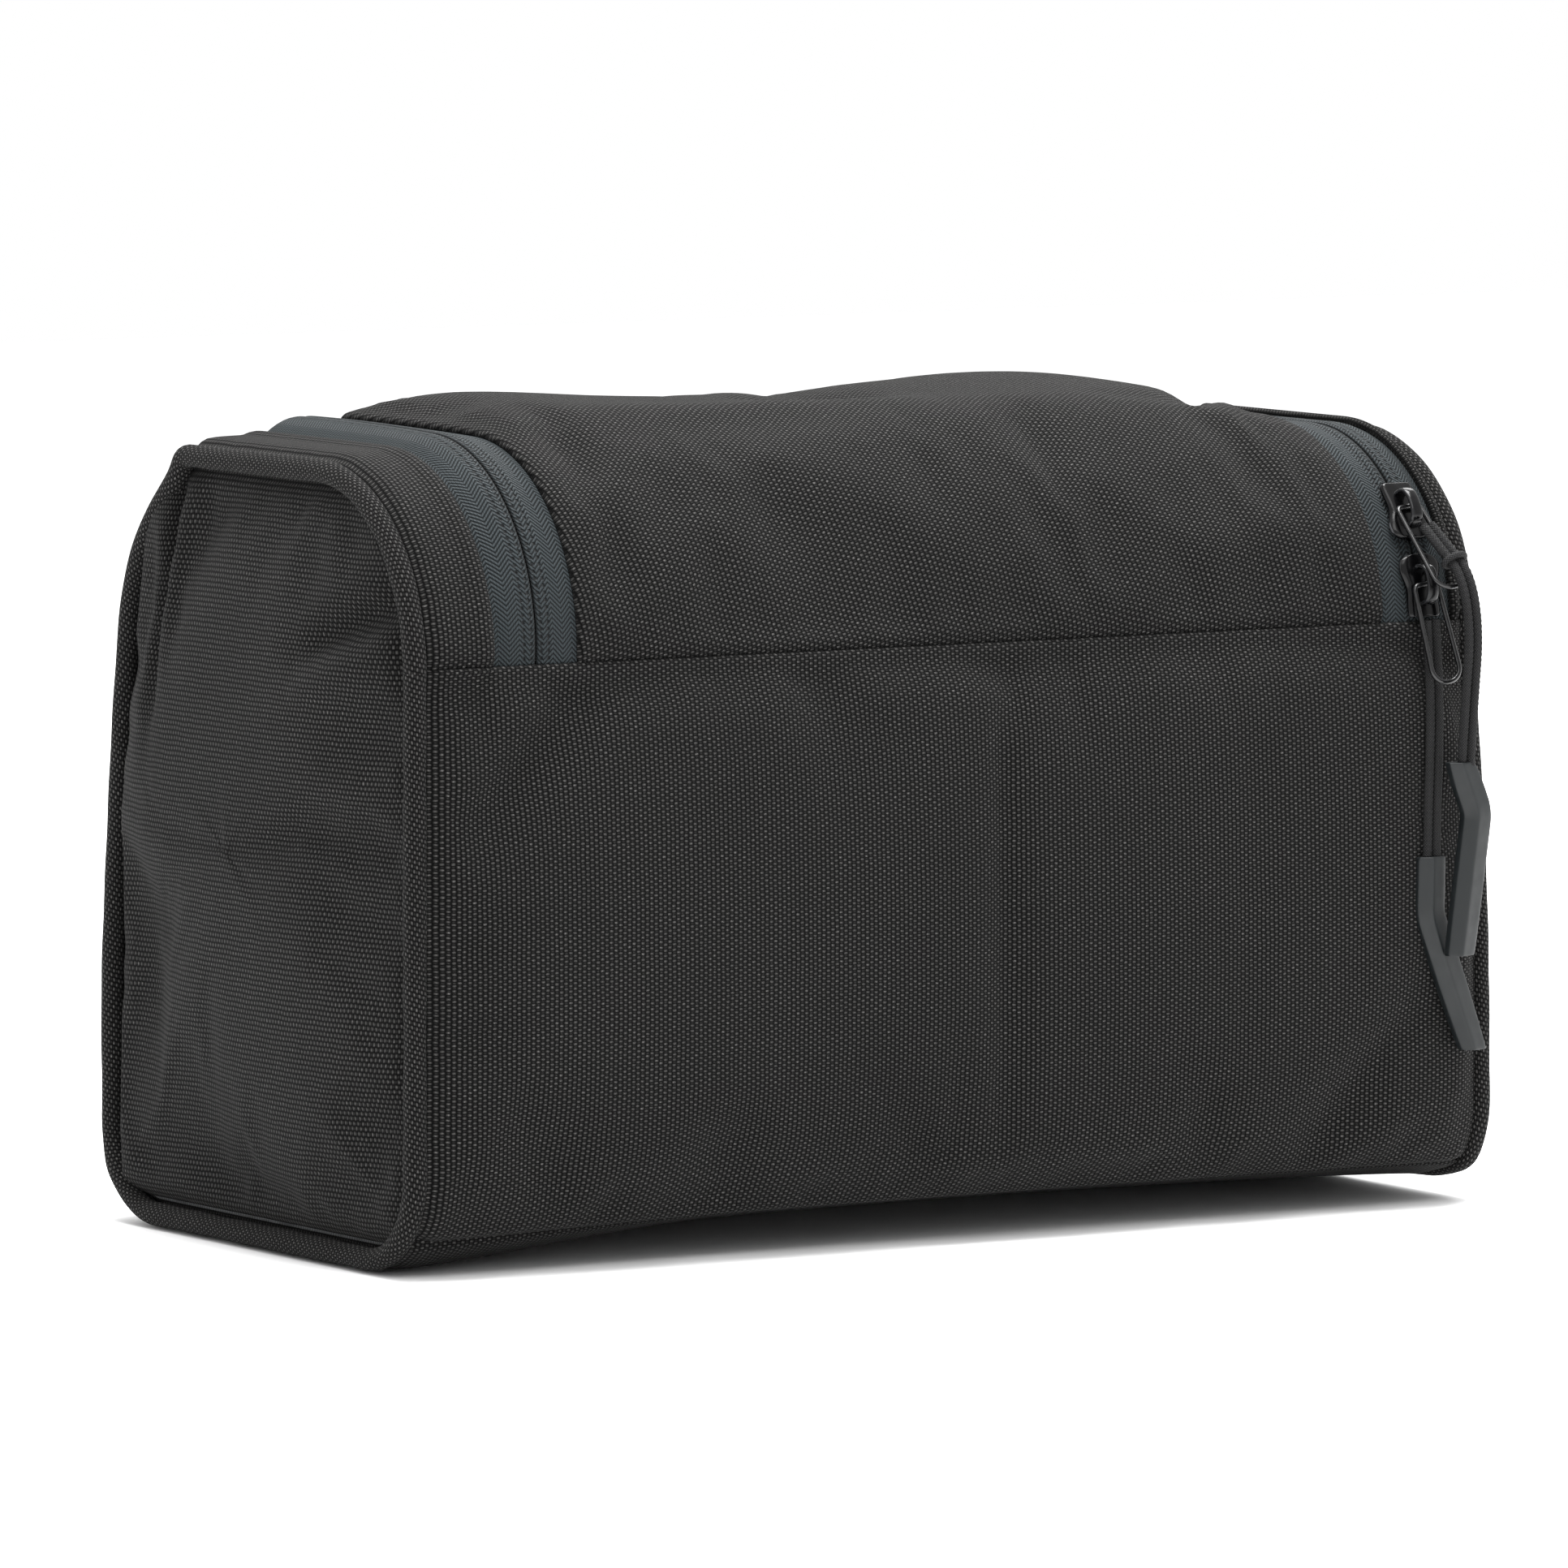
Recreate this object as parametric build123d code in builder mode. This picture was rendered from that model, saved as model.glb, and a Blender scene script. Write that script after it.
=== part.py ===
"""Hanging toiletry bag: a padded box with a hinged lid, closed by one long zip with two sliders.

Millimetres. +X runs along the bag, -Y is the back (the lid's hinge side), +Z is up.
The origin is the bottom centre. The lid is everything that the zip line encloses: it starts at the
hinge seam on the back, runs over both ends of the top and down the front, and turns along the front.
"""

import os
from math import cos, pi, radians, sin, tan

from build123d import *

os.makedirs("parts", exist_ok=True)

# --- Driving dimensions -------------------------------------------------------------------------
length = 270.0  # between the centres of the two end pipings
depth = 138.0  # back to front
height = 171.0
rear_shoulder_r = 43.0  # big soft corner that the sliders travel over
far_shoulder_r = 40.0
base_corner_r = 22.0
base_seam_z = 7.0  # the base panel wraps up the sides this far
piping_d = 5.0
piping_core_d = 3.0

fabric_t = 1.0
foam_t = 2.3
board_t = 1.2
lining_t = 0.6
ply_gap = 0.05  # air between neighbouring layers and seams

zip_left_x = -107.0
zip_right_x = 118.0
zip_front_z = 104.0  # the zip's straight run along the front
zip_corner_r = 26.0
tape_half_w = 10.0
tape_t = 0.9
coil_half_w = 2.8
coil_t = 1.8
zip_gap = 0.15  # from the zip's centre line to each tape

slider_len = 14.0
slider_w = 10.6
nose_r = 4.2
tail_r = 1.0
tail_w = 8.8
plate_t = 1.3
plate_lift = 0.3  # clearance between the outer plate and the tape
inner_plate_drop = 3.9  # from the tape's face to the top of the inner plate
post_w = 3.4
post_len = 4.6
post_ahead = 4.2  # the wedge post sits this far towards the nose
bridge_w = 3.6
bridge_len = 8.5
bridge_h = 3.9
bridge_r = 2.4
bridge_window_len = 6.7
bridge_window_h = 2.7
lower_slider_deg = 11.5  # places on the rear shoulder, measured up from the hinge seam
upper_slider_deg = 34.0

wire_d = 1.1
loop_len = 22.0
loop_bar = 6.2  # across its end in the bridge
loop_end = 7.6  # across its round foot
loop_bar_r = 1.3
loop_end_r = 3.3

strand_d = 2.2  # each pull hangs on two strands lying side by side
cord_grip_depth = 3.0  # how far the strands go into the moulded grip
grip_t = 4.2
grip_top_r = 3.4
grip_kink_r = 3.4
grip_tip_r = 3.3

hook_t = 3.4
hook_bar_h = 3.0
hook_slot_w = 21.0
hook_slot_low = -4.6
hook_frame_w = 27.0
hook_frame_r = 1.4
hook_stem_w = 13.0
hook_ring_r = 14.0
hook_eye_r = 8.0
hook_drop = 24.0  # from the pivot to the centre of the hook's bow
webbing_w = 20.0
webbing_t = 1.2
webbing_loop_r = 2.7
webbing_tail = 10.4  # the flat run sewn to the back

pocket_w = 200.0
pocket_gap = 6.0
pocket_base_z = 24.0
pocket_top_z = 80.0
pocket_t = 0.5
elastic_t = 1.5
elastic_h = 8.0

# --- Places worked out from them ----------------------------------------------------------------
bridge_top = plate_lift + plate_t + bridge_h
slider_proud = bridge_top - (rear_shoulder_r + bridge_top) * (1 - cos(radians(lower_slider_deg)))
rear_y = -depth / 2 + slider_proud / 2  # so that the origin is under the middle of bag and sliders
far_y = rear_y + depth
hinge_z = height - rear_shoulder_r
shoulder_centre = Vector(0, rear_y + rear_shoulder_r, hinge_z)

wall_x = length / 2 - piping_d / 2 - 0.1  # where the wall's layers stop beside the piping
piping_inset = piping_d / 2 + 0.1
foam_inset = fabric_t + ply_gap
lining_inset = foam_inset + foam_t + ply_gap
inside_inset = lining_inset + lining_t
end_inset = piping_d + 0.2
board_z = lining_inset
base_lining_z = board_z + board_t + ply_gap
board_half_y = depth / 2 - base_corner_r - 2.0
middle_y = (rear_y + far_y) / 2
far_limit = 400.0

corner_radii = [base_corner_r, base_corner_r, far_shoulder_r, rear_shoulder_r]


# --- Helpers: each draws into, or cuts, the builder that is open ----------------------------------
def outline_points(inset):
    """Corners of the cross-section, in (y, z): rear foot, far foot, far top, rear top."""
    near, far = rear_y + inset, far_y - inset
    low, high = inset, height - inset
    return [(near, low), (far, low), (far, high), (near, high)]


def outline(inset, mode=Mode.ADD):
    """The bag's cross-section as a face, set in from the outside by inset."""
    with BuildLine() as edge:
        FilletPolyline(*outline_points(inset), radius=[r - inset for r in corner_radii], close=True)
    make_face(edge.edges(), mode=mode)


def wall(inset, thickness, x_from=-wall_x, x_to=wall_x):
    """One layer of the wall that runs round base, back, top and front."""
    with BuildSketch(Plane.YZ.offset(x_from)) as ring:
        outline(inset)
        outline(inset + thickness, mode=Mode.SUBTRACT)
    extrude(ring.sketch, amount=x_to - x_from)


def keep(x=(-far_limit, far_limit), y=(-far_limit, far_limit), z=(-far_limit, far_limit)):
    """Cuts the open part down to the box between these limits."""
    middle = [(low + high) / 2 for low, high in (x, y, z)]
    with Locations(tuple(middle)):
        Box(x[1] - x[0], y[1] - y[0], z[1] - z[0], mode=Mode.INTERSECT)


def slab(x, y, z):
    """A box between limits."""
    middle = [(low + high) / 2 for low, high in (x, y, z)]
    with Locations(tuple(middle)):
        Box(x[1] - x[0], y[1] - y[0], z[1] - z[0])


def end_plate(inset, x_from, thickness):
    """A flat plate with the outline of the bag's end."""
    with BuildSketch(Plane.YZ.offset(x_from)) as plate:
        outline(inset)
    extrude(plate.sketch, amount=thickness)


def piping_ring(x, outer_d, inner_d=0.0):
    """A round cord, or its tubular cover, bent round the edge of an end."""
    with BuildLine(Plane.YZ.offset(x)) as edge:
        radii = [r - piping_inset for r in corner_radii]
        FilletPolyline(*outline_points(piping_inset), radius=radii, close=True)
    with BuildSketch(Plane(origin=edge.line @ 0, z_dir=edge.line % 0)) as section:
        Circle(outer_d / 2)
        if inner_d:
            Circle(inner_d / 2, mode=Mode.SUBTRACT)
    sweep(section.sketch, path=edge.wire())


def zip_block(margin):
    """Everything inside the zip line, grown outwards by margin."""
    x_from, x_to = zip_left_x - margin, zip_right_x + margin
    with BuildPart() as block:
        with BuildSketch(Plane.XZ.offset(-far_limit)) as front:
            foot, top = zip_front_z - margin, height + far_limit
            with Locations(((x_from + x_to) / 2, (foot + top) / 2)):
                Rectangle(x_to - x_from, top - foot)
            fillet(front.vertices().group_by(Axis.Y)[0], radius=zip_corner_r + margin)
        extrude(front.sketch, amount=far_limit)
        slab((x_from, x_to), (-far_limit, 0), (hinge_z + ply_gap, height + far_limit))
    return block.part


def on_shoulder(degrees, nose_up=True):
    """Plane on the rear shoulder: its z points out of the bag and its y towards a slider's nose."""
    out = Vector(0, -cos(radians(degrees)), sin(radians(degrees)))
    side = Vector(1 if nose_up else -1, 0, 0)
    middle = shoulder_centre + out * rear_shoulder_r + Vector(zip_right_x, 0, 0)
    return Plane(origin=middle, x_dir=side, z_dir=out)


def finish(part, name):
    """Names a finished piece and writes it."""
    part.label = name
    export_step(part, f"parts/{name}.step")


inside_tape = zip_block(-tape_half_w)
inside_zip = zip_block(-zip_gap)
outside_zip = zip_block(zip_gap)
inside_lid_coil = zip_block(-coil_half_w)
outside_body_coil = zip_block(coil_half_w)
outside_tape = zip_block(tape_half_w)

# --- Outer fabric -------------------------------------------------------------------------------
with BuildPart() as base_panel:
    wall(0, fabric_t)
    keep(z=(0, base_seam_z))
finish(base_panel.part, "base_panel")

with BuildPart() as back_panel:
    wall(0, fabric_t)
    keep(y=(-far_limit, 0), z=(base_seam_z + ply_gap, hinge_z - ply_gap))
finish(back_panel.part, "back_panel")

with BuildPart() as front_panel:
    wall(0, fabric_t)
    keep(y=(0, far_limit), z=(base_seam_z + ply_gap, hinge_z - ply_gap))
    add(outside_tape, mode=Mode.SUBTRACT)
finish(front_panel.part, "front_panel")

left_strip_x = (-wall_x, zip_left_x - tape_half_w - ply_gap)
right_strip_x = (zip_right_x + tape_half_w + ply_gap, wall_x)
for side, strip_x in (("left", left_strip_x), ("right", right_strip_x)):
    with BuildPart() as side_strip:
        wall(0, fabric_t, *strip_x)
        keep(z=(hinge_z + ply_gap, far_limit))
    finish(side_strip.part, f"{side}_side_strip")

    with BuildPart() as strip_foam:
        wall(foam_inset, foam_t, *strip_x)
        keep(z=(hinge_z + ply_gap, far_limit))
    finish(strip_foam.part, f"{side}_strip_foam")

    with BuildPart() as strip_lining:
        wall(lining_inset, lining_t, *strip_x)
        keep(z=(hinge_z + ply_gap, far_limit))
    finish(strip_lining.part, f"{side}_strip_lining")

# --- Ends: fabric, foam and lining inside a ring of piping -----------------------------------------
end_face_x = length / 2
end_foam_x = wall_x - 1.3
end_lining_x = end_foam_x - ply_gap - lining_t
end_layers = {
    "end_panel": (end_inset, end_face_x - fabric_t, fabric_t),
    "end_foam": (end_inset, end_foam_x, end_face_x - fabric_t - ply_gap - end_foam_x),
    "end_lining": (inside_inset + ply_gap, end_lining_x, lining_t),
}
for layer, (inset, inner_x, thickness) in end_layers.items():
    with BuildPart() as left_layer:
        end_plate(inset, -inner_x - thickness, thickness)
    finish(left_layer.part, f"left_{layer}")

    with BuildPart() as right_layer:
        end_plate(inset, inner_x, thickness)
    finish(right_layer.part, f"right_{layer}")

for side, x in (("left", -length / 2), ("right", length / 2)):
    with BuildPart() as piping:
        piping_ring(x, piping_d, piping_core_d + 2 * ply_gap)
    finish(piping.part, f"{side}_piping")

    with BuildPart() as piping_core:
        piping_ring(x, piping_core_d)
    finish(piping_core.part, f"{side}_piping_core")

# --- Padding of the body ------------------------------------------------------------------------
foam_split_z = base_corner_r + 2.0
with BuildPart() as base_foam:
    wall(foam_inset, foam_t)
    keep(z=(0, foam_split_z - ply_gap))
finish(base_foam.part, "base_foam")

with BuildPart() as back_foam:
    wall(foam_inset, foam_t)
    keep(y=(-far_limit, 0), z=(foam_split_z, hinge_z - ply_gap))
finish(back_foam.part, "back_foam")

with BuildPart() as front_foam:
    wall(foam_inset, foam_t)
    keep(y=(0, far_limit), z=(foam_split_z, hinge_z - ply_gap))
    add(outside_tape, mode=Mode.SUBTRACT)
finish(front_foam.part, "front_foam")

with BuildPart() as base_board:
    slab(
        (2 - end_lining_x, end_lining_x - 2),
        (middle_y - board_half_y, middle_y + board_half_y),
        (board_z, board_z + board_t),
    )
finish(base_board.part, "base_board")

# --- Lining of the body -------------------------------------------------------------------------
lining_x = end_lining_x - ply_gap
lining_edge_y = board_half_y + 0.5
with BuildPart() as base_lining:
    slab(
        (-lining_x, lining_x),
        (middle_y - board_half_y, middle_y + board_half_y),
        (base_lining_z, base_lining_z + lining_t),
    )
finish(base_lining.part, "base_lining")

with BuildPart() as back_lining:
    wall(lining_inset, lining_t)
    keep(y=(-far_limit, middle_y - lining_edge_y), z=(0, hinge_z - ply_gap))
finish(back_lining.part, "back_lining")

with BuildPart() as front_lining:
    wall(lining_inset, lining_t)
    keep(y=(middle_y + lining_edge_y, far_limit), z=(0, hinge_z - ply_gap))
    add(outside_tape, mode=Mode.SUBTRACT)
finish(front_lining.part, "front_lining")

lining_face_y = rear_y + inside_inset
with BuildPart() as hinge_binding:
    slab(
        (zip_left_x + tape_half_w, zip_right_x - tape_half_w),
        (lining_face_y + ply_gap, lining_face_y + ply_gap + 0.5),
        (hinge_z - 7.0, hinge_z - 0.3),
    )
finish(hinge_binding.part, "hinge_binding")

# --- Slip pocket on the front wall --------------------------------------------------------------
pocket_back_y = far_y - inside_inset - ply_gap
pocket_front_y = pocket_back_y - pocket_gap - pocket_t
pocket_x = (-pocket_w / 2, pocket_w / 2)
with BuildPart() as inner_pocket_mesh:
    slab(pocket_x, (pocket_front_y, pocket_back_y), (pocket_base_z, pocket_top_z))
    open_top = inner_pocket_mesh.faces().sort_by(Axis.Z)[-1]
    open_back = inner_pocket_mesh.faces().sort_by(Axis.Y)[-1]
    offset(amount=-pocket_t, openings=[open_top, open_back])
finish(inner_pocket_mesh.part, "inner_pocket_mesh")

with BuildPart() as inner_pocket_elastic:
    slab(pocket_x, (pocket_front_y, pocket_front_y + elastic_t), (pocket_top_z + 0.1, pocket_top_z + elastic_h))
finish(inner_pocket_elastic.part, "inner_pocket_elastic")

# --- Lid ------------------------------------------------------------------------------------------
for name, inset, thickness in (
    ("lid_panel", 0, fabric_t),
    ("lid_foam", foam_inset, foam_t),
    ("lid_lining", lining_inset, lining_t),
):
    with BuildPart() as lid_layer:
        wall(inset, thickness)
        add(inside_tape, mode=Mode.INTERSECT)
    finish(lid_layer.part, name)

# --- Zip: two tapes with a coil sewn on the inside of each ----------------------------------------
open_mid_deg = (lower_slider_deg + upper_slider_deg) / 2
opening_len = 18.0
opening_w = 4.6


def open_between_sliders():
    """The mouth in the zip between the two slider noses, where their posts hold the tapes apart."""
    with BuildSketch(on_shoulder(open_mid_deg)) as mouth:
        SlotOverall(opening_len, opening_w, rotation=90)
    extrude(mouth.sketch, amount=8.0, both=True, mode=Mode.SUBTRACT)


zip_pieces = {
    "zip_tape_lid": (0, tape_t, inside_zip, inside_tape),
    "zip_coil_lid": (fabric_t, coil_t, inside_zip, inside_lid_coil),
    "zip_tape_body": (0, tape_t, outside_tape, outside_zip),
    "zip_coil_body": (fabric_t, coil_t, outside_body_coil, outside_zip),
}
for name, (inset, thickness, outer_edge, inner_edge) in zip_pieces.items():
    with BuildPart() as zip_piece:
        wall(inset, thickness)
        add(outer_edge, mode=Mode.INTERSECT)
        add(inner_edge, mode=Mode.SUBTRACT)
        open_between_sliders()
    finish(zip_piece.part, name)


# --- Sliders: a body of two plates on a wedge post, and a bridge for the wire loop -----------------
def slider_plate(level):
    """One plate: broad round shoulders at the nose, narrower at the tail."""
    with BuildSketch(level) as plate:
        with Locations((nose_r - slider_w / 2, slider_len / 2 - nose_r)):
            Circle(nose_r)
        with Locations((slider_w / 2 - nose_r, slider_len / 2 - nose_r)):
            Circle(nose_r)
        tail_x, tail_y = tail_w / 2 - tail_r, tail_r - slider_len / 2
        with Locations((-tail_x, tail_y), (tail_x, tail_y)):
            Circle(tail_r)
        make_hull()
    extrude(plate.sketch, amount=plate_t)


def slider_body(place):
    """The slider without its bridge."""
    slider_plate(place.offset(plate_lift))
    slider_plate(place.offset(-inner_plate_drop - plate_t))
    with BuildSketch(place.offset(-inner_plate_drop)) as post:
        with Locations((0, post_ahead)):
            Ellipse(post_w / 2, post_len / 2)
    extrude(post.sketch, amount=inner_plate_drop + plate_lift)


def slider_bridge(place):
    """Arched bridge along the outer plate, with a window for the wire."""
    side = Plane(origin=place.origin, x_dir=place.y_dir, z_dir=place.x_dir)
    floor = plate_lift + plate_t
    with BuildSketch(side) as arch:
        with Locations((0, floor + bridge_h / 2)):
            Rectangle(bridge_len, bridge_h)
        fillet(arch.vertices().group_by(Axis.Y)[-1], radius=bridge_r)
        with Locations((0, floor + bridge_window_h / 2)):
            Rectangle(bridge_window_len, bridge_window_h, mode=Mode.SUBTRACT)
    extrude(arch.sketch, amount=bridge_w / 2, both=True)


pivot_lift = plate_lift + plate_t + bridge_window_h / 2 + 0.1


def loop_place(pivot, way):
    """Plane of a wire loop: origin on its bar, -y towards its lower end."""
    way = way.normalized()
    across = (Vector(1, 0, 0) - way * way.X).normalized()
    return Plane(origin=pivot, x_dir=across, z_dir=across.cross(way * -1))


def wire_loop(pivot, way):
    """Drop-shaped loop of wire, its narrow end through the bridge."""
    with BuildLine(loop_place(pivot, way)) as bend:
        FilletPolyline(
            (-loop_bar / 2, 0),
            (loop_bar / 2, 0),
            (loop_end / 2, -loop_len),
            (-loop_end / 2, -loop_len),
            radius=[loop_bar_r, loop_bar_r, loop_end_r, loop_end_r],
            close=True,
        )
    with BuildSketch(Plane(origin=bend.line @ 0, z_dir=bend.line % 0)) as section:
        Circle(wire_d / 2)
    sweep(section.sketch, path=bend.wire())


# --- Pulls: two strands of braided cord from each wire loop to a kinked moulded grip ----------------
def largest_radii(points):
    """The largest arc for each inner corner: 0.45 of its shorter run over the tangent of half its turn."""
    radii = []
    for before, here, after in zip(points, points[1:], points[2:]):
        arriving, leaving = Vector(here) - Vector(before), Vector(after) - Vector(here)
        shorter = min(arriving.length, leaving.length)
        half_turn = radians(arriving.get_angle(leaving)) / 2
        radii.append(0.45 * shorter / tan(half_turn))
    return radii


def pull_cord(points):
    """Both strands as one flat section along the route."""
    radii = largest_radii(points)
    with BuildLine() as route:
        FilletPolyline(*points, radius=radii)
    with BuildSketch(Plane(origin=route.line @ 0, x_dir=(1, 0, 0), z_dir=route.line % 0)) as strands:
        SlotOverall(2 * strand_d, strand_d)
    sweep(strands.sketch, path=route.wire())
    return route.wire().length, radii


def grip_leg(place, start, start_r, end, end_r):
    """One straight leg of the grip, between two round ends."""
    with BuildSketch(place) as leg:
        with Locations(start):
            Circle(start_r)
        with Locations(end):
            Circle(end_r)
        make_hull()
    extrude(leg.sketch, amount=grip_t / 2, both=True)


def pull_grip(y, top, kink, tip):
    """Boomerang-shaped grip, standing in a plane parallel to the bag's back; points are (x, z)."""
    place = Plane.XZ.offset(-y)
    grip_leg(place, top, grip_top_r, kink, grip_kink_r)
    grip_leg(place, kink, grip_kink_r, tip, grip_tip_r)


# A cord starts under its slider's bridge, where it is looped onto the wire. The upper one passes in
# front of its loop's foot and the lower one behind it. Bends are (x, distance behind the back, z).
pulls = {
    "upper": {
        "slider_deg": upper_slider_deg,
        "nose_up": False,
        "loop_shift": -0.4,
        "way": Vector(2.5, -14.6, -17.4),
        "cord_start": (118.7, 1.0, 149.9),
        "bends": [(120.2, 6.0, 144.9), (121.9, 11.5, 139.6), (123.4, 12.8, 127.5), (122.5, 12.2, 112.0)],
        "grip": ((122.0, 95.8), (125.4, 87.4), (121.4, 58.9)),
        "grip_out": 11.4,
    },
    "lower": {
        "slider_deg": lower_slider_deg,
        "nose_up": True,
        "loop_shift": -0.4,
        "way": Vector(2.6, -5.4, -21.3),
        "cord_start": (118.2, 3.5, 129.4),
        "bends": [(118.7, 3.5, 121.5), (118.5, 4.6, 110.5), (117.5, 5.9, 99.0), (116.5, 6.7, 87.5)],
        "grip": ((116.2, 74.8), (116.0, 64.8), (126.6, 37.3)),
        "grip_out": 6.9,
    },
}
for name, pull in pulls.items():
    place = on_shoulder(pull["slider_deg"], pull["nose_up"])
    pivot = place.origin + place.z_dir * pivot_lift + Vector(pull["loop_shift"], 0, 0)
    loop_foot = pivot + pull["way"].normalized() * loop_len
    top, kink, tip = pull["grip"]
    grip_y = rear_y - pull["grip_out"]
    cord_end = (top[0], grip_y, top[1] + grip_top_r - cord_grip_depth)

    with BuildPart() as body:
        slider_body(place)
    finish(body.part, f"{name}_slider_body")

    with BuildPart() as bridge:
        slider_bridge(place)
    finish(bridge.part, f"{name}_slider_bridge")

    with BuildPart() as loop:
        wire_loop(pivot, pull["way"])
    finish(loop.part, f"{name}_wire_loop")

    with BuildPart() as cord:
        hung = [(x, rear_y - out, z) for x, out, z in (pull["cord_start"], *pull["bends"])]
        cord_points = [*hung, cord_end]
        cord_length, cord_radii = pull_cord(cord_points)
    finish(cord.part, f"{name}_pull_cord")

    with BuildPart() as grip:
        pull_grip(grip_y, top, kink, tip)
    finish(grip.part, f"{name}_pull_grip")

    section = strand_d**2 * (1 + pi / 4)
    print(f"{name} loop pivot {pivot}, loop foot {loop_foot}")
    print(f"{name} cord {cord_points}, radii {[round(r, 1) for r in cord_radii]}")
    print(f"{name} cord length {cord_length:.2f}, volume {cord.part.volume:.1f}, ", end="")
    print(f"section times length {section * cord_length:.1f}")

# --- Hanging hook on a webbing tab inside the back ---------------------------------------------------
hook_pivot = Vector(0, lining_face_y + 4.6, hinge_z - 11.0)
with BuildPart() as hanging_hook:
    hook_face = Plane(origin=hook_pivot, x_dir=(1, 0, 0), z_dir=(0, -1, 0))
    with BuildSketch(hook_face):
        frame_top, frame_low = hook_bar_h / 2, hook_slot_low - hook_bar_h
        with Locations((0, (frame_top + frame_low) / 2)):
            RectangleRounded(hook_frame_w, frame_top - frame_low, hook_frame_r)
        with Locations((0, (frame_low - hook_drop + hook_eye_r) / 2)):
            Rectangle(hook_stem_w, hook_drop - hook_eye_r + frame_low)
        with Locations((0, -hook_drop)):
            Circle(hook_ring_r)
            Circle(hook_eye_r, mode=Mode.SUBTRACT)
        with Locations((1 - hook_ring_r, -hook_drop + hook_eye_r / 2)):
            Rectangle(2 * hook_eye_r - 2, hook_eye_r, mode=Mode.SUBTRACT)
        with Locations((0, (hook_slot_low - hook_bar_h / 2) / 2)):
            Rectangle(hook_slot_w, -hook_slot_low - hook_bar_h / 2, mode=Mode.SUBTRACT)
    extrude(amount=hook_t / 2, both=True)
finish(hanging_hook.part, "hanging_hook")

with BuildPart() as hook_webbing:
    with BuildSketch(Plane(origin=hook_pivot, x_dir=(0, 1, 0), z_dir=(1, 0, 0))):
        webbing_outer_r = webbing_loop_r + webbing_t
        Circle(webbing_outer_r)
        with Locations((webbing_t / 2 - webbing_outer_r, webbing_tail / 2)):
            Rectangle(webbing_t, webbing_tail)
        Circle(webbing_loop_r, mode=Mode.SUBTRACT)
    extrude(amount=webbing_w / 2, both=True)
finish(hook_webbing.part, "hook_webbing")
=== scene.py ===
"""The looks of the hanging toiletry bag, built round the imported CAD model.

Lengths are millimetres in this file's own geometry and metres once they reach Blender. Most of the
bag is one skin: a point on it is given by x, along the bag, and s, the distance round its
cross-section from the hinge seam, up over the top. s is below zero on the back and under the bag.
"""

from math import cos, degrees, pi, sin

import bmesh
import bpy
import numpy as np
from mathutils import Matrix, Vector


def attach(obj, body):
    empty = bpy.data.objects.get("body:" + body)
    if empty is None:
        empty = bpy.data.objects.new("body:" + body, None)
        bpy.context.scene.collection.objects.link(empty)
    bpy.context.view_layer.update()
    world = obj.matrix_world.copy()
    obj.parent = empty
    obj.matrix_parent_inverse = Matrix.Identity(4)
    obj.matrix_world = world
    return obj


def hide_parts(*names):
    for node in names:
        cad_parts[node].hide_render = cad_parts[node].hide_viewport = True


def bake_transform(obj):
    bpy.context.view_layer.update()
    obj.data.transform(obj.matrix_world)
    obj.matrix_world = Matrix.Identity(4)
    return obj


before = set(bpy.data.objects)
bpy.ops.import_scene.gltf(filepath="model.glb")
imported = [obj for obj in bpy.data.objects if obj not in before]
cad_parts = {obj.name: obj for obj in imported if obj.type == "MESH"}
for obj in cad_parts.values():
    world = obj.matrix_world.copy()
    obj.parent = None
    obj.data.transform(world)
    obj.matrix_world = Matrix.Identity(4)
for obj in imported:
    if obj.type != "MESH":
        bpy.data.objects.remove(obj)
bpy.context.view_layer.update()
MM = 0.001

# --- The bag's measures, as in the CAD model ---
REAR_Y, FAR_Y, HEIGHT, HINGE_Z = -66.737, 71.263, 171.0, 128.0
REAR_R, FAR_R, FOOT_R = 43.0, 40.0, 22.0
END_X, WALL_X = 135.0, 133.3
BASE_SEAM_Z = 7.0
ZIP_LEFT, ZIP_RIGHT, ZIP_FRONT_Z, ZIP_R = -107.0, 118.0, 104.0, 26.0
TAPE_W = 10.0
PIPING_R, PIPING_IN = 2.5, 2.6
MIDDLE_Y = (REAR_Y + FAR_Y) / 2
MIDDLE = Vector((0, MIDDLE_Y * MM, 0.085))

# Where each run of the cross-section starts, going up from the hinge seam
QUARTER = pi / 2
TOP_RUN = FAR_Y - FAR_R - REAR_Y - REAR_R
FRONT_RUN = HEIGHT - FAR_R - FOOT_R
BASE_RUN = FAR_Y - REAR_Y - 2 * FOOT_R
S_TOP = REAR_R * QUARTER
S_FAR = S_TOP + TOP_RUN
S_FRONT = S_FAR + FAR_R * QUARTER
S_FOOT = S_FRONT + FRONT_RUN
S_BASE = S_FOOT + FOOT_R * QUARTER
S_REAR = S_BASE + BASE_RUN
S_BACK = S_REAR + FOOT_R * QUARTER
GIRTH = S_BACK + HINGE_Z - FOOT_R


def front_s(z):
    """The place round the section of a height on the front face."""
    return S_FRONT + HEIGHT - FAR_R - z


def foot_s(z):
    """How far round a foot corner a height lies, from the floor up."""
    return FOOT_R * np.arccos(1 - z / FOOT_R)


S_ZIP = front_s(ZIP_FRONT_Z)
S_LID = S_ZIP - TAPE_W
# The centres that the zip's two round corners turn about
TURN_LEFT, TURN_RIGHT, S_TURN = ZIP_LEFT + ZIP_R, ZIP_RIGHT - ZIP_R, S_ZIP - ZIP_R
S_SEAM_FRONT = S_BASE - foot_s(BASE_SEAM_Z)
S_SEAM_BACK = S_REAR + foot_s(BASE_SEAM_Z) - GIRTH


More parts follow.
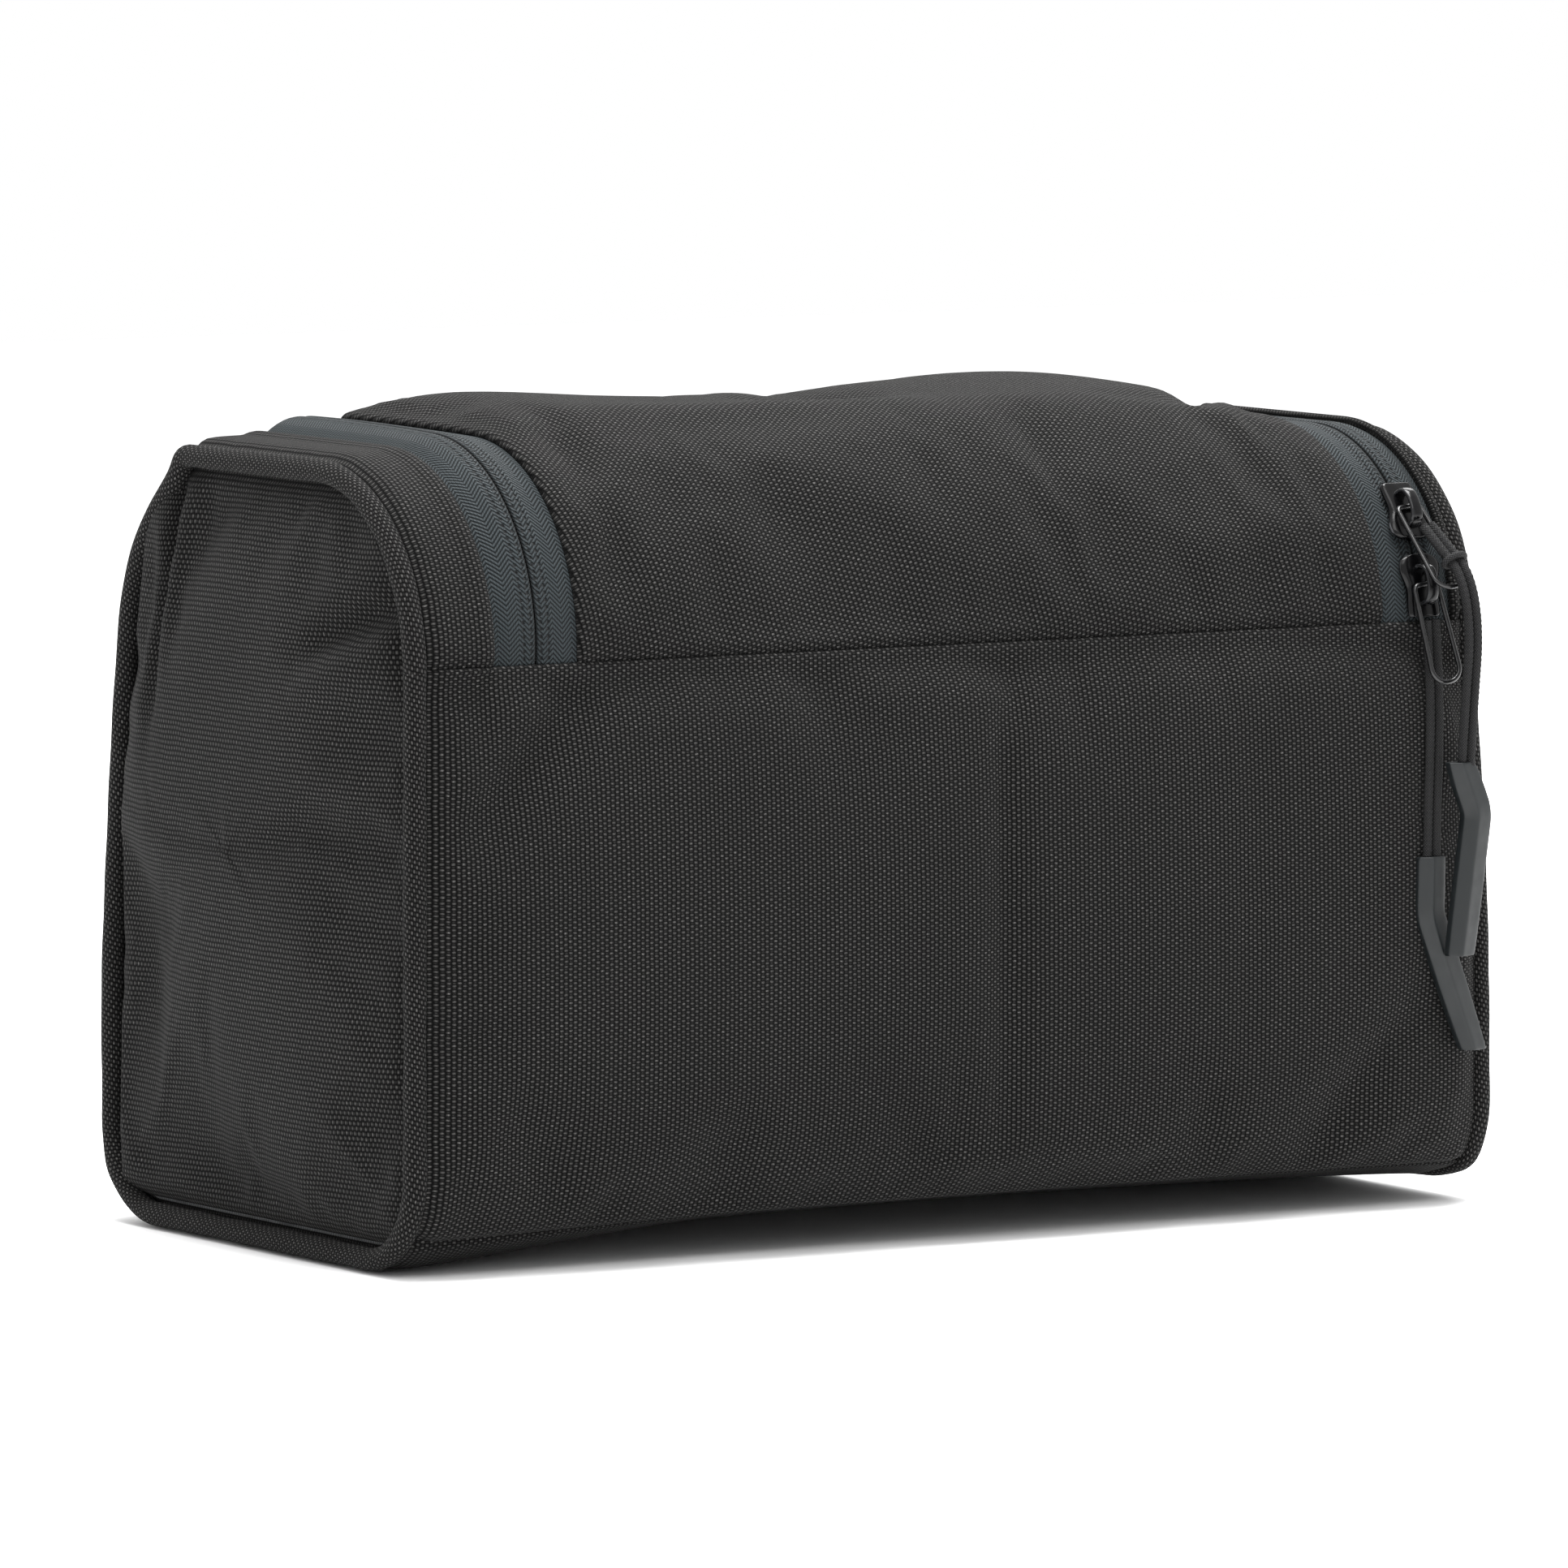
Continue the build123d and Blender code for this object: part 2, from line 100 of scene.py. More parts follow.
def section(s):
    """(y, z, normal y, normal z) of the plain cross-section at s."""
    s = np.mod(np.asarray(s, float), GIRTH)
    y, z, ny, nz = (np.zeros_like(s) for _ in range(4))

    def straight(low, high, start, way, normal):
        m = (s >= low) & (s <= high)
        y[m] = start[0] + way[0] * (s[m] - low)
        z[m] = start[1] + way[1] * (s[m] - low)
        ny[m], nz[m] = normal

    def corner(low, r, centre, from_angle):
        m = (s >= low) & (s <= low + r * QUARTER)
        a = from_angle - (s[m] - low) / r
        ny[m], nz[m] = np.cos(a), np.sin(a)
        y[m], z[m] = centre[0] + r * ny[m], centre[1] + r * nz[m]

    straight(S_TOP, S_FAR, (REAR_Y + REAR_R, HEIGHT), (1, 0), (0, 1))
    straight(S_FRONT, S_FOOT, (FAR_Y, HEIGHT - FAR_R), (0, -1), (1, 0))
    straight(S_BASE, S_REAR, (FAR_Y - FOOT_R, 0), (-1, 0), (0, -1))
    straight(S_BACK, GIRTH, (REAR_Y, FOOT_R), (0, 1), (-1, 0))
    corner(0, REAR_R, (REAR_Y + REAR_R, HINGE_Z), pi)
    corner(S_FAR, FAR_R, (FAR_Y - FAR_R, HEIGHT - FAR_R), QUARTER)
    corner(S_FOOT, FOOT_R, (FAR_Y - FOOT_R, FOOT_R), 0)
    corner(S_REAR, FOOT_R, (REAR_Y + FOOT_R, FOOT_R), -QUARTER)
    return y, z, ny, nz


# --- Shapes of the stuffed bag ---
def smooth(value, low, high):
    """0 below low, 1 above high, and an S-curve between."""
    t = np.clip((np.asarray(value, float) - low) / (high - low), 0, 1)
    return t * t * (3 - 2 * t)


def rise(distance, scale):
    """A padded panel's swelling with the distance from its seam."""
    return 1 - np.exp(-np.clip(distance, 0, None) / scale)


def hump(value, middle, width):
    """1 at the middle, falling off to both sides."""
    return np.exp(-(((value - middle) / width) ** 2))


def valley(a, b, start, end, width, depth):
    """A soft crease from start to end: deepest in its middle."""
    start, way = np.array(start, float), np.array(end, float) - np.array(start, float)
    t = ((a - start[0]) * way[0] + (b - start[1]) * way[1]) / (way @ way)
    near = np.clip(t, 0, 1)
    off = np.hypot(a - start[0] - near * way[0], b - start[1] - near * way[1])
    along = np.clip(np.sin(pi * np.clip(t, 0.02, 0.98)), 0, 1) ** 0.6
    return -depth * along * hump(off, 0, width)


def fold(distance):
    """The raised rounded edge where a panel is folded under and sewn."""
    d = np.clip(distance, 0, None)
    return 1.25 * np.sqrt(1 - (1 - np.clip(d / 1.3, 0, 1)) ** 2) - 0.35 - 0.35 * smooth(d, 2.2, 6)


def tuck(distance, depth=1.9, width=2.4):
    """The groove where a panel is pulled down into a seam."""
    return -depth * hump(np.clip(distance, 0, None), 0, width)


def from_zip(x, s):
    """Distance from the zip's centre line, below zero inside it."""
    half = (ZIP_RIGHT - ZIP_LEFT) / 2
    across = np.abs(x - (ZIP_LEFT + ZIP_RIGHT) / 2) - half + ZIP_R
    along = s - S_ZIP + ZIP_R
    outer = np.hypot(np.clip(across, 0, None), np.clip(along, 0, None))
    return outer + np.clip(np.maximum(across, along), None, 0) - ZIP_R


LID_FOLDS = [
    # x, s of each end, width, depth
    (-92, 50, 0, 58, 7.0, 1.3),
    (-70, 64, 20, 70, 6.0, -0.9),
    (-20, 96, 18, 84, 9.0, 2.6),
    (10, 120, -8, 70, 10.0, 2.2),
    (78, 62, 104, 92, 5.5, 2.6),
    (60, 66, 98, 66, 6.0, 1.2),
    (-96, 20, -60, 34, 6.0, 0.7),
    (30, 20, 92, 34, 12.0, 1.0),
    (-60, 150, 40, 158, 9.0, 1.6),
    (-84, 120, -60, 176, 8.0, 1.2),
    (74, 130, 94, 186, 8.0, 1.2),
]
END_CREASES = [
    # y, z of each end, width, depth
    (44, 170, 42, 108, 4.6, 3.6),
    (31, 168, 33, 128, 3.4, -1.7),
    (24, 166, 22, 146, 3.0, 1.0),
    (-68, 148, -26, 130, 3.6, 3.6),
    (-64, 137, -22, 119, 4.2, -1.8),
    (-66, 128, -34, 104, 5.0, 0.9),
    (-58, 96, -46, 56, 9.0, 1.0),
    (54, 90, 47, 40, 8.0, 1.4),
    (-24, 12, 40, 18, 6.0, 1.2),
    (58, 34, 40, 60, 7.0, 1.0),
]


def swell(x, s):
    """How far the stuffed bag's skin stands off the plain cross-section."""
    x, s = np.broadcast_arrays(np.asarray(x, float), np.asarray(s, float))
    s = np.where(s > S_BASE + BASE_RUN / 2, s - GIRTH, s)
    off_zip, piping, over = from_zip(x, s), WALL_X - np.abs(x), s > 0
    up = np.sin(pi * np.clip(s / S_ZIP, 0, 1)) ** 0.8
    left = smooth(-x, 30, 95) * smooth(END_X + x, 13, 25)
    right = smooth(x, 40, 95) * smooth(END_X - x, 1, 22)
    crown = 1.1 * hump(off_zip, 0, 5.5) * smooth(-x, 60, 100)
    off = np.where(over, up * (4.4 * left - 0.6 * right + crown), 0.0)

    inside = -off_zip - TAPE_W
    lid = 4.8 * rise(inside, 18) * rise(s, 26) * (0.55 + 0.45 * up)
    folds = sum(valley(x, s, row[:2], row[2:4], *row[4:]) for row in LID_FOLDS)
    lid = lid + folds * smooth(inside, 0, 12) * smooth(s, 4, 22)
    lid = lid + 2.6 * np.exp(-(((x - 66) / 34) ** 2) - ((s - 108) / 34) ** 2) * smooth(inside, 0, 20)
    off = off + np.where(over, lid, 0)

    ends, down = rise(piping, 17), np.clip(-s, 0, None)
    back = 4.6 * ends * rise(down, 24) * rise(s - S_SEAM_BACK, 15)
    back = back + valley(x, s, (-122, -30), (-96, -8), 6, 1.0)
    back = back + valley(x, s, (-120, -96), (-92, -112), 8, 1.0)
    back = back + valley(x, s, (70, -120), (124, -84), 10, 1.2) * ends
    off = off + np.where((s <= 0) & (s > S_SEAM_BACK), back * smooth(down, 0, 12), 0)

    outside = off_zip - TAPE_W
    front = 4.4 * ends * rise(outside, 14) * rise(S_SEAM_FRONT - s, 15)
    front = front * smooth(s, S_FRONT - 40, S_FRONT + 10)
    front = front + valley(x, s, (-60, S_ZIP + 30), (30, S_ZIP + 40), 12, 1.0) * smooth(outside, 0, 14)
    off = off + np.where(over & (s < S_SEAM_FRONT), front, 0)
    strip = rise(piping, 3.0) * smooth(off_zip, TAPE_W, TAPE_W + 3)
    return off + np.where(over & (s < S_ZIP), 0.9 * strip, 0)


def slouch(points):
    """The loaded bag's leanings: the far top falls in, the right shoulder is drawn in, and the
    middle of the base stands a little off the floor between its two ends."""
    x, y, z = points[..., 0], points[..., 1], points[..., 2]
    low = np.clip(1 - z / HINGE_Z, 0, 1)
    lean = -(1.5 + 14.5 * np.clip((z - 45) / 126, 0, 1.1) ** 1.5) * smooth(y, 28, 57)
    tight = -4.6 * smooth(z, 40, 150) * smooth(x, 121, 134)
    spread = x / END_X * np.where(x < 0, 0.3, 0.6) * low ** 0.7
    under = 2.6 * np.cos(QUARTER * np.clip((x - 4) / 128, -1, 1)) ** 0.7
    under = (under + 4.0 * smooth(-y, -6, 52) * smooth(x, -128, -50)) * (1 - smooth(z, 0, 11))
    moved = points.copy()
    moved[..., 0] += spread + tight
    moved[..., 1] += lean
    moved[..., 2] += under - 1.3 * smooth(x, 118, 135) * smooth(z, 140, HEIGHT)
    return moved


def skin(x, s, lift=0.0):
    """Points on the bag's skin, lifted off it along the plain section's normal."""
    x, s, lift = np.broadcast_arrays(*(np.asarray(v, float) for v in (x, s, lift)))
    y, z, ny, nz = section(s)
    off = swell(x, s) + lift
    return slouch(stacked(x, y + ny * off, z + nz * off))


# --- Meshes ---
FINE = np.array((0.0, 0.35, 0.9, 1.7, 2.8, 4.2))  # a grid's first steps in from an edge


def mesh_object(name, points, faces, uv=None):
    """A smooth-shaded object from points in millimetres; uv is in millimetres too."""
    points = np.asarray(points, float).reshape(-1, 3)
    mesh = bpy.data.meshes.new(name)
    mesh.from_pydata((points * MM).tolist(), [], [tuple(int(i) for i in f) for f in faces])
    if uv is not None:
        layer = mesh.uv_layers.new(name="cut")
        loops = np.zeros(len(mesh.loops), int)
        mesh.loops.foreach_get("vertex_index", loops)
        flat = (np.asarray(uv, float).reshape(-1, 2) * MM)[loops]
        layer.data.foreach_set("uv", flat.astype(np.float32).ravel())
    mesh.polygons.foreach_set("use_smooth", [True] * len(mesh.polygons))
    mesh.validate()
    obj = bpy.data.objects.new(name, mesh)
    bpy.context.scene.collection.objects.link(obj)
    return obj


def grid_faces(rows, columns, wrap=False):
    """Quads of a grid of points; wrap joins its last column to its first."""
    faces = []
    for r in range(0, (rows - 1) * columns, columns):
        for c in range(columns if wrap else columns - 1):
            after = (c + 1) % columns
            faces.append((r + c, r + after, r + columns + after, r + columns + c))
    return faces


def bar_faces(rows, around):
    """Quads of rings of points, and the two flat ends."""
    first = tuple(range(around))
    return grid_faces(rows, around, wrap=True) + [first, tuple((rows - 1) * around + k for k in first)]


def stacked(*parts):
    """Coordinates, stretched to the same grid, as one array of points."""
    return np.stack(np.broadcast_arrays(*parts), -1)


def unit(vectors):
    return vectors / np.linalg.norm(vectors, axis=-1, keepdims=True)


def circuit(count, length=2 * pi):
    """Evenly spaced places round a closed line, without its end."""
    return np.linspace(0, length, count, endpoint=False)


def run_of(points):
    """The distance along a line of each of its points."""
    return np.concatenate([[0], np.cumsum(np.linalg.norm(np.diff(points, axis=0), axis=1))])


def even_points(points, step):
    """The same line with its points evenly spaced."""
    lengths = run_of(points)
    wanted = np.linspace(0, lengths[-1], max(4, int(lengths[-1] / step)))
    return np.stack([np.interp(wanted, lengths, points[:, k]) for k in range(3)], -1)


def spaced(low, high, step):
    """Values from low to high, closer together at both ends."""
    if high - low < 2.4 * FINE[-1]:
        return np.linspace(low, high, max(9, int((high - low) / 0.8)))
    middle = np.linspace(low + FINE[-1], high - FINE[-1], max(3, int((high - low) / step)))
    return np.concatenate([low + FINE[:-1], middle, high - FINE[:-1][::-1]])


def unit_steps(length, step=2.4):
    """0 to 1 in steps of a grid over that length, finer at both ends."""
    return spaced(0.0, length, step) / length


def modifier(obj, kind, **settings):
    added = obj.modifiers.new(kind.lower(), kind)
    for key, value in settings.items():
        setattr(added, key, value)


def solidify(obj, thickness, offset=-1.0):
    modifier(obj, "SOLIDIFY", thickness=thickness * MM, offset=offset, use_even_offset=False)


def rounded(obj):
    modifier(obj, "SUBSURF", levels=2, render_levels=2)
    return obj


def with_faces_of(obj, change):
    """Lets change work on the object's mesh as a bmesh."""
    work = bmesh.new()
    work.from_mesh(obj.data)
    change(work)
    work.to_mesh(obj.data)
    work.free()
    return obj


def recalc(obj):
    """Turns every face outwards."""
    return with_faces_of(obj, lambda work: bmesh.ops.recalc_face_normals(work, faces=work.faces))


def outward(obj):
    """Turns a sheet of the skin so that its faces look out of the bag."""
    votes = sum(1 if p.normal.dot(p.center - MIDDLE) > 0 else -1 for p in list(obj.data.polygons)[::17])
    if votes < 0:
        obj.data.flip_normals()


def finish_piece(obj, body, slot, *replaced):
    """What every piece needs: its material, body and slot, and the nodes that it stands for."""
    obj.data.materials.clear()
    obj.data.materials.append(MATERIALS[slot])
    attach(obj, body)
    if replaced:
        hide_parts(*replaced)
    return obj


def sheet_piece(name, points, uv, thickness, body, slot, *replaced, centred=False):
    """A grid of points as a sheet, its thickness inwards from them or centred on them."""
    piece = mesh_object(name, points, grid_faces(*points.shape[:2]), uv)
    if not centred:
        outward(piece)
    solidify(piece, thickness, 0.0 if centred else -1.0)
    return finish_piece(piece, body, slot, *replaced)


# --- Materials, kept under the names of their slots ---
MATERIALS = {}


class Shader:
    """A material with a few short ways to add nodes."""

    def __init__(self, name, **settings):
        material = bpy.data.materials.new(name)
        material.use_nodes = True
        self.tree = material.node_tree
        self.surface = self.tree.nodes["Principled BSDF"].inputs
        self.drive(**settings)
        MATERIALS[name] = material

    def link(self, source, socket):
        """Sets a socket to a number or a colour, or links a node's output to it."""
        if isinstance(source, tuple):
            socket.default_value = (*source, 1.0)
        elif isinstance(source, (int, float)):
            socket.default_value = source
        else:
            self.tree.links.new(source, socket)

    def drive(self, **sources):
        """Sets or links the surface's own sockets."""
        for key, source in sources.items():
            self.link(source, self.surface[key.replace("_", " ")])

    def add(self, kind, output, inputs=(), **settings):
        """A new node's output; inputs are pairs of a socket's name and its source."""
        node = self.tree.nodes.new("ShaderNode" + kind)
        for key, value in settings.items():
            setattr(node, key, value)
        for key, source in inputs:
            self.link(source, node.inputs[key])
        return node.outputs[output]

    def math(self, kind, *values):
        return self.add("Math", 0, enumerate(values), operation=kind)

    def times(self, *values):
        return self.math("MULTIPLY", *values)

    def noise(self, vector, scale, detail=2.0):
        return self.add("TexNoise", "Fac", (("Vector", vector), ("Scale", scale), ("Detail", detail)))

    def place(self):
        """The point on the object, in metres."""
        return self.add("TexCoord", "Object")

    def cut(self):
        """The point on the flat cloth as a vector, and its two coordinates, in metres."""
        at = self.add("UVMap", "UV", uv_map="cut")
        apart = [self.add("SeparateXYZ", k, ((0, at),)) for k in (0, 1)]
        return at, *apart

    def mapped(self, value, low, high, to_low=0.0, to_high=1.0):
        sockets = ("Value", "From Min", "From Max", "To Min", "To Max")
        return self.add("MapRange", 0, zip(sockets, (value, low, high, to_low, to_high)))

    def blend(self, factor, dark, light):
        sockets = (("Factor", factor), ("A", dark), ("B", light))
        return self.add("Mix", "Result", sockets, data_type="RGBA")

    def bump(self, height, depth, strength, *under):
        """A normal bent by a height, depth millimetres deep; under is the normal that it bends."""
        sockets = [("Height", height), ("Distance", depth * MM), ("Strength", strength)]
        return self.add("Bump", "Normal", sockets + [("Normal", normal) for normal in under])

    def cycles(self, value, pitch):
        """|sin| with one hump for each pitch, and its signed sine."""
        sine = self.math("SINE", self.times(value, pi / (pitch * MM)))
        return self.math("ABSOLUTE", sine), sine


def woven(name, pitch_u, pitch_v, depth, gap_shade, thread, painted_glint, turn=False, **settings):
    """Plain weave of two-ply threads. The threads along v stand out as ribs, each a row of floats painted
    lighter on top, and neighbouring ribs are half a step apart. The gaps between the threads are painted
    dark as shade, and specks of painted highlight lie on the floats."""
    m = Shader(name, **settings)
    at, u, v = m.cut()
    if turn:
        u, v = m.math("MULTIPLY_ADD", u, 0.3, v), u
    u = m.math("MULTIPLY_ADD", m.noise(at, 160.0, 1.0), 0.0004, u)
    v = m.math("MULTIPLY_ADD", m.noise(at, 210.0, 1.0), 0.0006, v)
    hump_u, sine_u = m.cycles(u, pitch_u)
    hump_v, sine_v = m.cycles(v, pitch_v)
    over = m.math("GREATER_THAN", m.times(sine_u, sine_v), 0.0)
    float_over = m.times(over, m.math("POWER", hump_v, 0.45))
    float_under = m.times(m.math("SUBTRACT", 1.0, over), m.times(hump_v, 0.5))
    height = m.times(m.math("POWER", hump_u, 0.8), m.math("ADD", float_over, float_under))
    ply, _ = m.cycles(m.math("MULTIPLY_ADD", u, 0.8, v), pitch_v)
    height = m.times(height, m.mapped(ply, 0.0, 0.6, 0.86))
    # The finest noise places specks of painted highlight on the threads.
    glint_speck, cloud = m.noise(at, 1900.0, 0.0), m.noise(at, 24.0, 3.0)
    # The colour runs from painted shade in the gaps between threads to their lit tops, under a random cloudy
    # tone.
    shade_and_tone = m.math("POWER", m.mapped(height, 0.2, 0.95), 1.5)
    shade_and_tone = m.times(shade_and_tone, m.mapped(cloud, 0.3, 0.7, 0.82))
    base = m.blend(shade_and_tone, gap_shade, thread)
    m.drive(
        Base_Color=m.blend(m.times(m.mapped(glint_speck, 0.60, 0.78, 0.0, 0.7), shade_and_tone), base, painted_glint),
        Roughness=m.mapped(height, 0.0, 1.0, 0.95, 0.66),
        Normal=m.bump(height, depth, 0.9, m.bump(cloud, 1.6, 0.35)),
    )


DULL = {"Specular_IOR_Level": 0.10, "Sheen_Weight": 0.02, "Sheen_Roughness": 0.5}
# The painted shade in the gaps of the darkest weaves.
WEAVE_GAP_SHADE = (0.004, 0.004, 0.004)
# Each weave: pitches, bump depth, painted shade in its gaps, thread colour, painted highlight colour.
woven("canvas", 1.08, 0.58, 0.4, (0.0005,) * 3, (0.0545, 0.053, 0.0512), (0.125, 0.121, 0.118), **DULL)
woven("piping_cover", 1.0, 0.55, 0.4, (0.0005,) * 3, (0.066, 0.064, 0.062), (0.13, 0.126, 0.122), True, **DULL)
woven(
    "lining", 0.5, 0.5, 0.12, (0.006, 0.007, 0.008), (0.03, 0.034, 0.038), (0.05, 0.055, 0.06),
    Specular_IOR_Level=0.5, Sheen_Weight=0.2, Sheen_Roughness=0.4,
)
woven("webbing", 1.4, 2.2, 0.4, WEAVE_GAP_SHADE, (0.024,) * 3, (0.045,) * 3, Specular_IOR_Level=0.4)
woven("binding", 0.7, 1.6, 0.25, WEAVE_GAP_SHADE, (0.022, 0.022, 0.023), (0.04,) * 3, Specular_IOR_Level=0.4)
woven("elastic", 1.1, 0.55, 0.3, WEAVE_GAP_SHADE, (0.026, 0.026, 0.027), (0.05,) * 3, Specular_IOR_Level=0.3)


def herringbone_tape():
    """Zip tape: fine ribs that change direction, with painted shade in their grooves and along the edge where
    the two tapes meet, and the coil's sewing.
    """
    m = Shader("zip_tape", Specular_IOR_Level=0.14, Sheen_Weight=0.02, Sheen_Roughness=0.45)
    at, across, along = m.cut()
    away = m.math("ABSOLUTE", across)
    zig = m.math("PINGPONG", m.math("ADD", away, 0.0007), 0.0024)
    rib, _ = m.cycles(m.math("ADD", zig, along), 1.05)
    fine, _ = m.cycles(across, 0.6)
    height = m.times(rib, m.mapped(fine, 0.0, 0.7, 0.72))
    shade_and_tone = m.times(m.mapped(height, 0.2, 0.95), m.mapped(m.noise(at, 60.0, 3.0), 0.3, 0.7, 0.8))
    # Where the coil is sewn on, each stitch pulls a small hole, in two rows either side of the middle. The
    # holes are painted dark as shade.
    rows = m.math("PINGPONG", m.math("SUBTRACT", away, 0.0012), 0.0009)
    near_row = m.times(m.mapped(rows, 0.00012, 0.0005, 1.0, 0.0), m.mapped(away, 0.0033, 0.0036, 1.0, 0.0))
    stitch, _ = m.cycles(along, 1.5)
    hole = m.times(near_row, m.mapped(stitch, 0.6, 0.88))
    # Painted shade in the stitch holes and along the middle, where the two tapes meet.
    dark = m.math("MAXIMUM", hole, m.mapped(away, 0.0001, 0.0006, 1.0, 0.0))
    # The ribs run from painted shade in their grooves to their lit crests.
    base = m.blend(shade_and_tone, (0.0022, 0.0031, 0.0036), (0.029, 0.0365, 0.040))
    sunk = m.math("SUBTRACT", height, m.times(dark, 2.2))
    m.drive(
        Base_Color=m.blend(dark, base, (0.0022, 0.003, 0.0035)),
        Roughness=m.mapped(height, 0.0, 1.0, 0.92, 0.6), Normal=m.bump(sunk, 0.32, 0.9),
    )


def moulding(name, blotch, colours, gloss, grain=None, edge_highlight=None, **settings):
    """Paint or plastic: blotches of colour, uneven gloss, a fine grain, and painted highlights on convex edges.
    blotch and gloss are (noise scale, detail, low, high) and grain is (noise scale, depth, strength)."""
    m = Shader(name, **settings)
    at = m.place()
    scale, detail, low, high = blotch
    colour = m.blend(m.mapped(m.noise(at, scale, detail), low, high), *colours)
    if edge_highlight:
        # Convex edges are painted lighter, as a highlight.
        convex = m.add("NewGeometry", "Pointiness")
        colour = m.blend(m.mapped(convex, 0.515, 0.57, 0.0, 0.8), colour, edge_highlight)
    scale, detail, low, high = gloss
    m.drive(Base_Color=colour, Roughness=m.mapped(m.noise(at, scale, detail), 0.3, 0.7, low, high))
    if grain:
        scale, depth, strength = grain
        m.drive(Normal=m.bump(m.noise(at, scale), depth, strength))


# The slider metal's lighter edge colour is a painted highlight.
moulding(
    "slider_metal", (700.0, 3.0, 0.4, 0.7), ((0.001, 0.001, 0.0012), (0.0024, 0.0024, 0.0028)),
    (260.0, 4.0, 0.14, 0.26), (900.0, 0.03, 0.25), edge_highlight=(0.075, 0.077, 0.082),
    Specular_IOR_Level=0.2, Coat_Weight=0.08, Coat_Roughness=0.06,
)
moulding(
    "wire", (1200.0, 2.0, 0.45, 0.7), ((0.0015, 0.0015, 0.0017), (0.004, 0.004, 0.0045)),
    (500.0, 3.0, 0.2, 0.36), Specular_IOR_Level=0.45, Coat_Weight=0.2, Coat_Roughness=0.1,
)
moulding(
    "pull_rubber", (90.0, 4.0, 0.0, 1.0), ((0.0045, 0.0060, 0.0066), (0.0068, 0.0088, 0.0096)),
    (300.0, 3.0, 0.42, 0.55), (2600.0, 0.03, 0.3), Specular_IOR_Level=0.35,
)
moulding(
    "hook_plastic", (60.0, 3.0, 0.0, 1.0), ((0.008, 0.008, 0.009), (0.013, 0.013, 0.014)),
    (400.0, 3.0, 0.34, 0.48), (1800.0, 0.04, 0.3), Specular_IOR_Level=0.5,
)


def foam_sheet(name, dark, light):
    m = Shader(name, Specular_IOR_Level=0.2, Roughness=0.95)
    cell = m.add("TexVoronoi", "Distance", (("Vector", m.place()), ("Scale", 1500.0)))
    # The pores are painted darker, as shade in them.
    pores = m.mapped(cell, 0.1, 0.6)
    m.drive(Base_Color=m.blend(pores, dark, light), Normal=m.bump(pores, 0.2, 0.8))


def net():
    """Knitted mesh: rows of rounded holes, cut out by transparency."""
    m = Shader("pocket_mesh", Specular_IOR_Level=0.4, Roughness=0.6)
    at, u, v = m.cut()
    sines = [m.cycles(along, pitch)[1] for along, pitch in ((u, 1.5), (v, 1.3))]
    thread = m.mapped(m.math("ABSOLUTE", m.times(*sines)), 0.30, 0.42, 1.0, 0.0)
    colour = m.blend(m.noise(at, 300.0, 2.0), (0.008, 0.008, 0.009), (0.02, 0.02, 0.022))
    m.drive(Alpha=thread, Base_Color=colour, Normal=m.bump(thread, 0.2, 0.6))


def nylon_coil():
    m = Shader("zip_coil", Specular_IOR_Level=0.5, Roughness=0.38)
    turn, _ = m.cycles(m.cut()[2], 0.9)
    # The grooves between the coil's turns are painted dark as shade, and the crests lighter.
    colour = m.blend(turn, (0.004, 0.005, 0.006), (0.017, 0.022, 0.026))
    m.drive(Base_Color=colour, Normal=m.bump(turn, 0.5, 0.9))


def braid():
    """Braided cover: two sets of strands crossing in chevrons, painted dark as shade in the grooves between
    strands.
    """
    m = Shader("braided_cord", Specular_IOR_Level=0.2)
    _, round_it, along = m.cut()
    one, _ = m.cycles(m.math("ADD", round_it, along), 0.62)
    two, _ = m.cycles(m.math("SUBTRACT", round_it, along), 0.62)
    height = m.math("MULTIPLY_ADD", one, 0.5, m.times(two, 0.5))
    m.drive(
        Base_Color=m.blend(m.mapped(height, 0.15, 0.85), (0.0012, 0.0012, 0.0013), (0.0135, 0.0135, 0.0140)),
        Roughness=m.mapped(height, 0.0, 1.0, 0.9, 0.6), Normal=m.bump(height, 0.22, 0.9),
    )


herringbone_tape()
nylon_coil()
braid()
net()
foam_sheet("foam", (0.03, 0.03, 0.032), (0.09, 0.09, 0.095))
foam_sheet("stiffener", (0.03, 0.03, 0.03), (0.06, 0.06, 0.06))
foam_sheet("piping_core", (0.3, 0.3, 0.28), (0.5, 0.5, 0.47))

# --- Camera and lights ---
VIEW_RIGHT = Vector((0.8508, -0.5255, 0.0))
VIEW_UP = Vector((0.0486, 0.0786, 0.9957))
VIEW_BACK = Vector((-0.5233, -0.8472, 0.0924))
VIEW_TARGET = Vector((0.0, MIDDLE_Y, 85.0)) * MM
VIEW_DISTANCE = 3.0
lens = bpy.data.cameras.new("camera")
lens.sensor_width, lens.lens = 36.0, 314.7
lens.shift_x, lens.shift_y = -0.0083, 0.0243
lens.clip_end = 20.0
camera = bpy.data.objects.new("camera", lens)
axes = Matrix([v.normalized() for v in (VIEW_RIGHT, VIEW_UP, VIEW_BACK)]).transposed().to_4x4()
camera.matrix_world = Matrix.Translation(VIEW_TARGET + VIEW_BACK * VIEW_DISTANCE) @ axes
bpy.context.scene.collection.objects.link(camera)
bpy.context.scene.camera = camera
bpy.context.scene.view_settings.view_transform = "Standard"

world = bpy.data.worlds.new("studio")
world.use_nodes = True
world.node_tree.nodes["Background"].inputs["Color"].default_value = (1.0, 1.0, 1.0, 1.0)
world.node_tree.nodes["Background"].inputs["Strength"].default_value = 1.0
bpy.context.scene.world = world

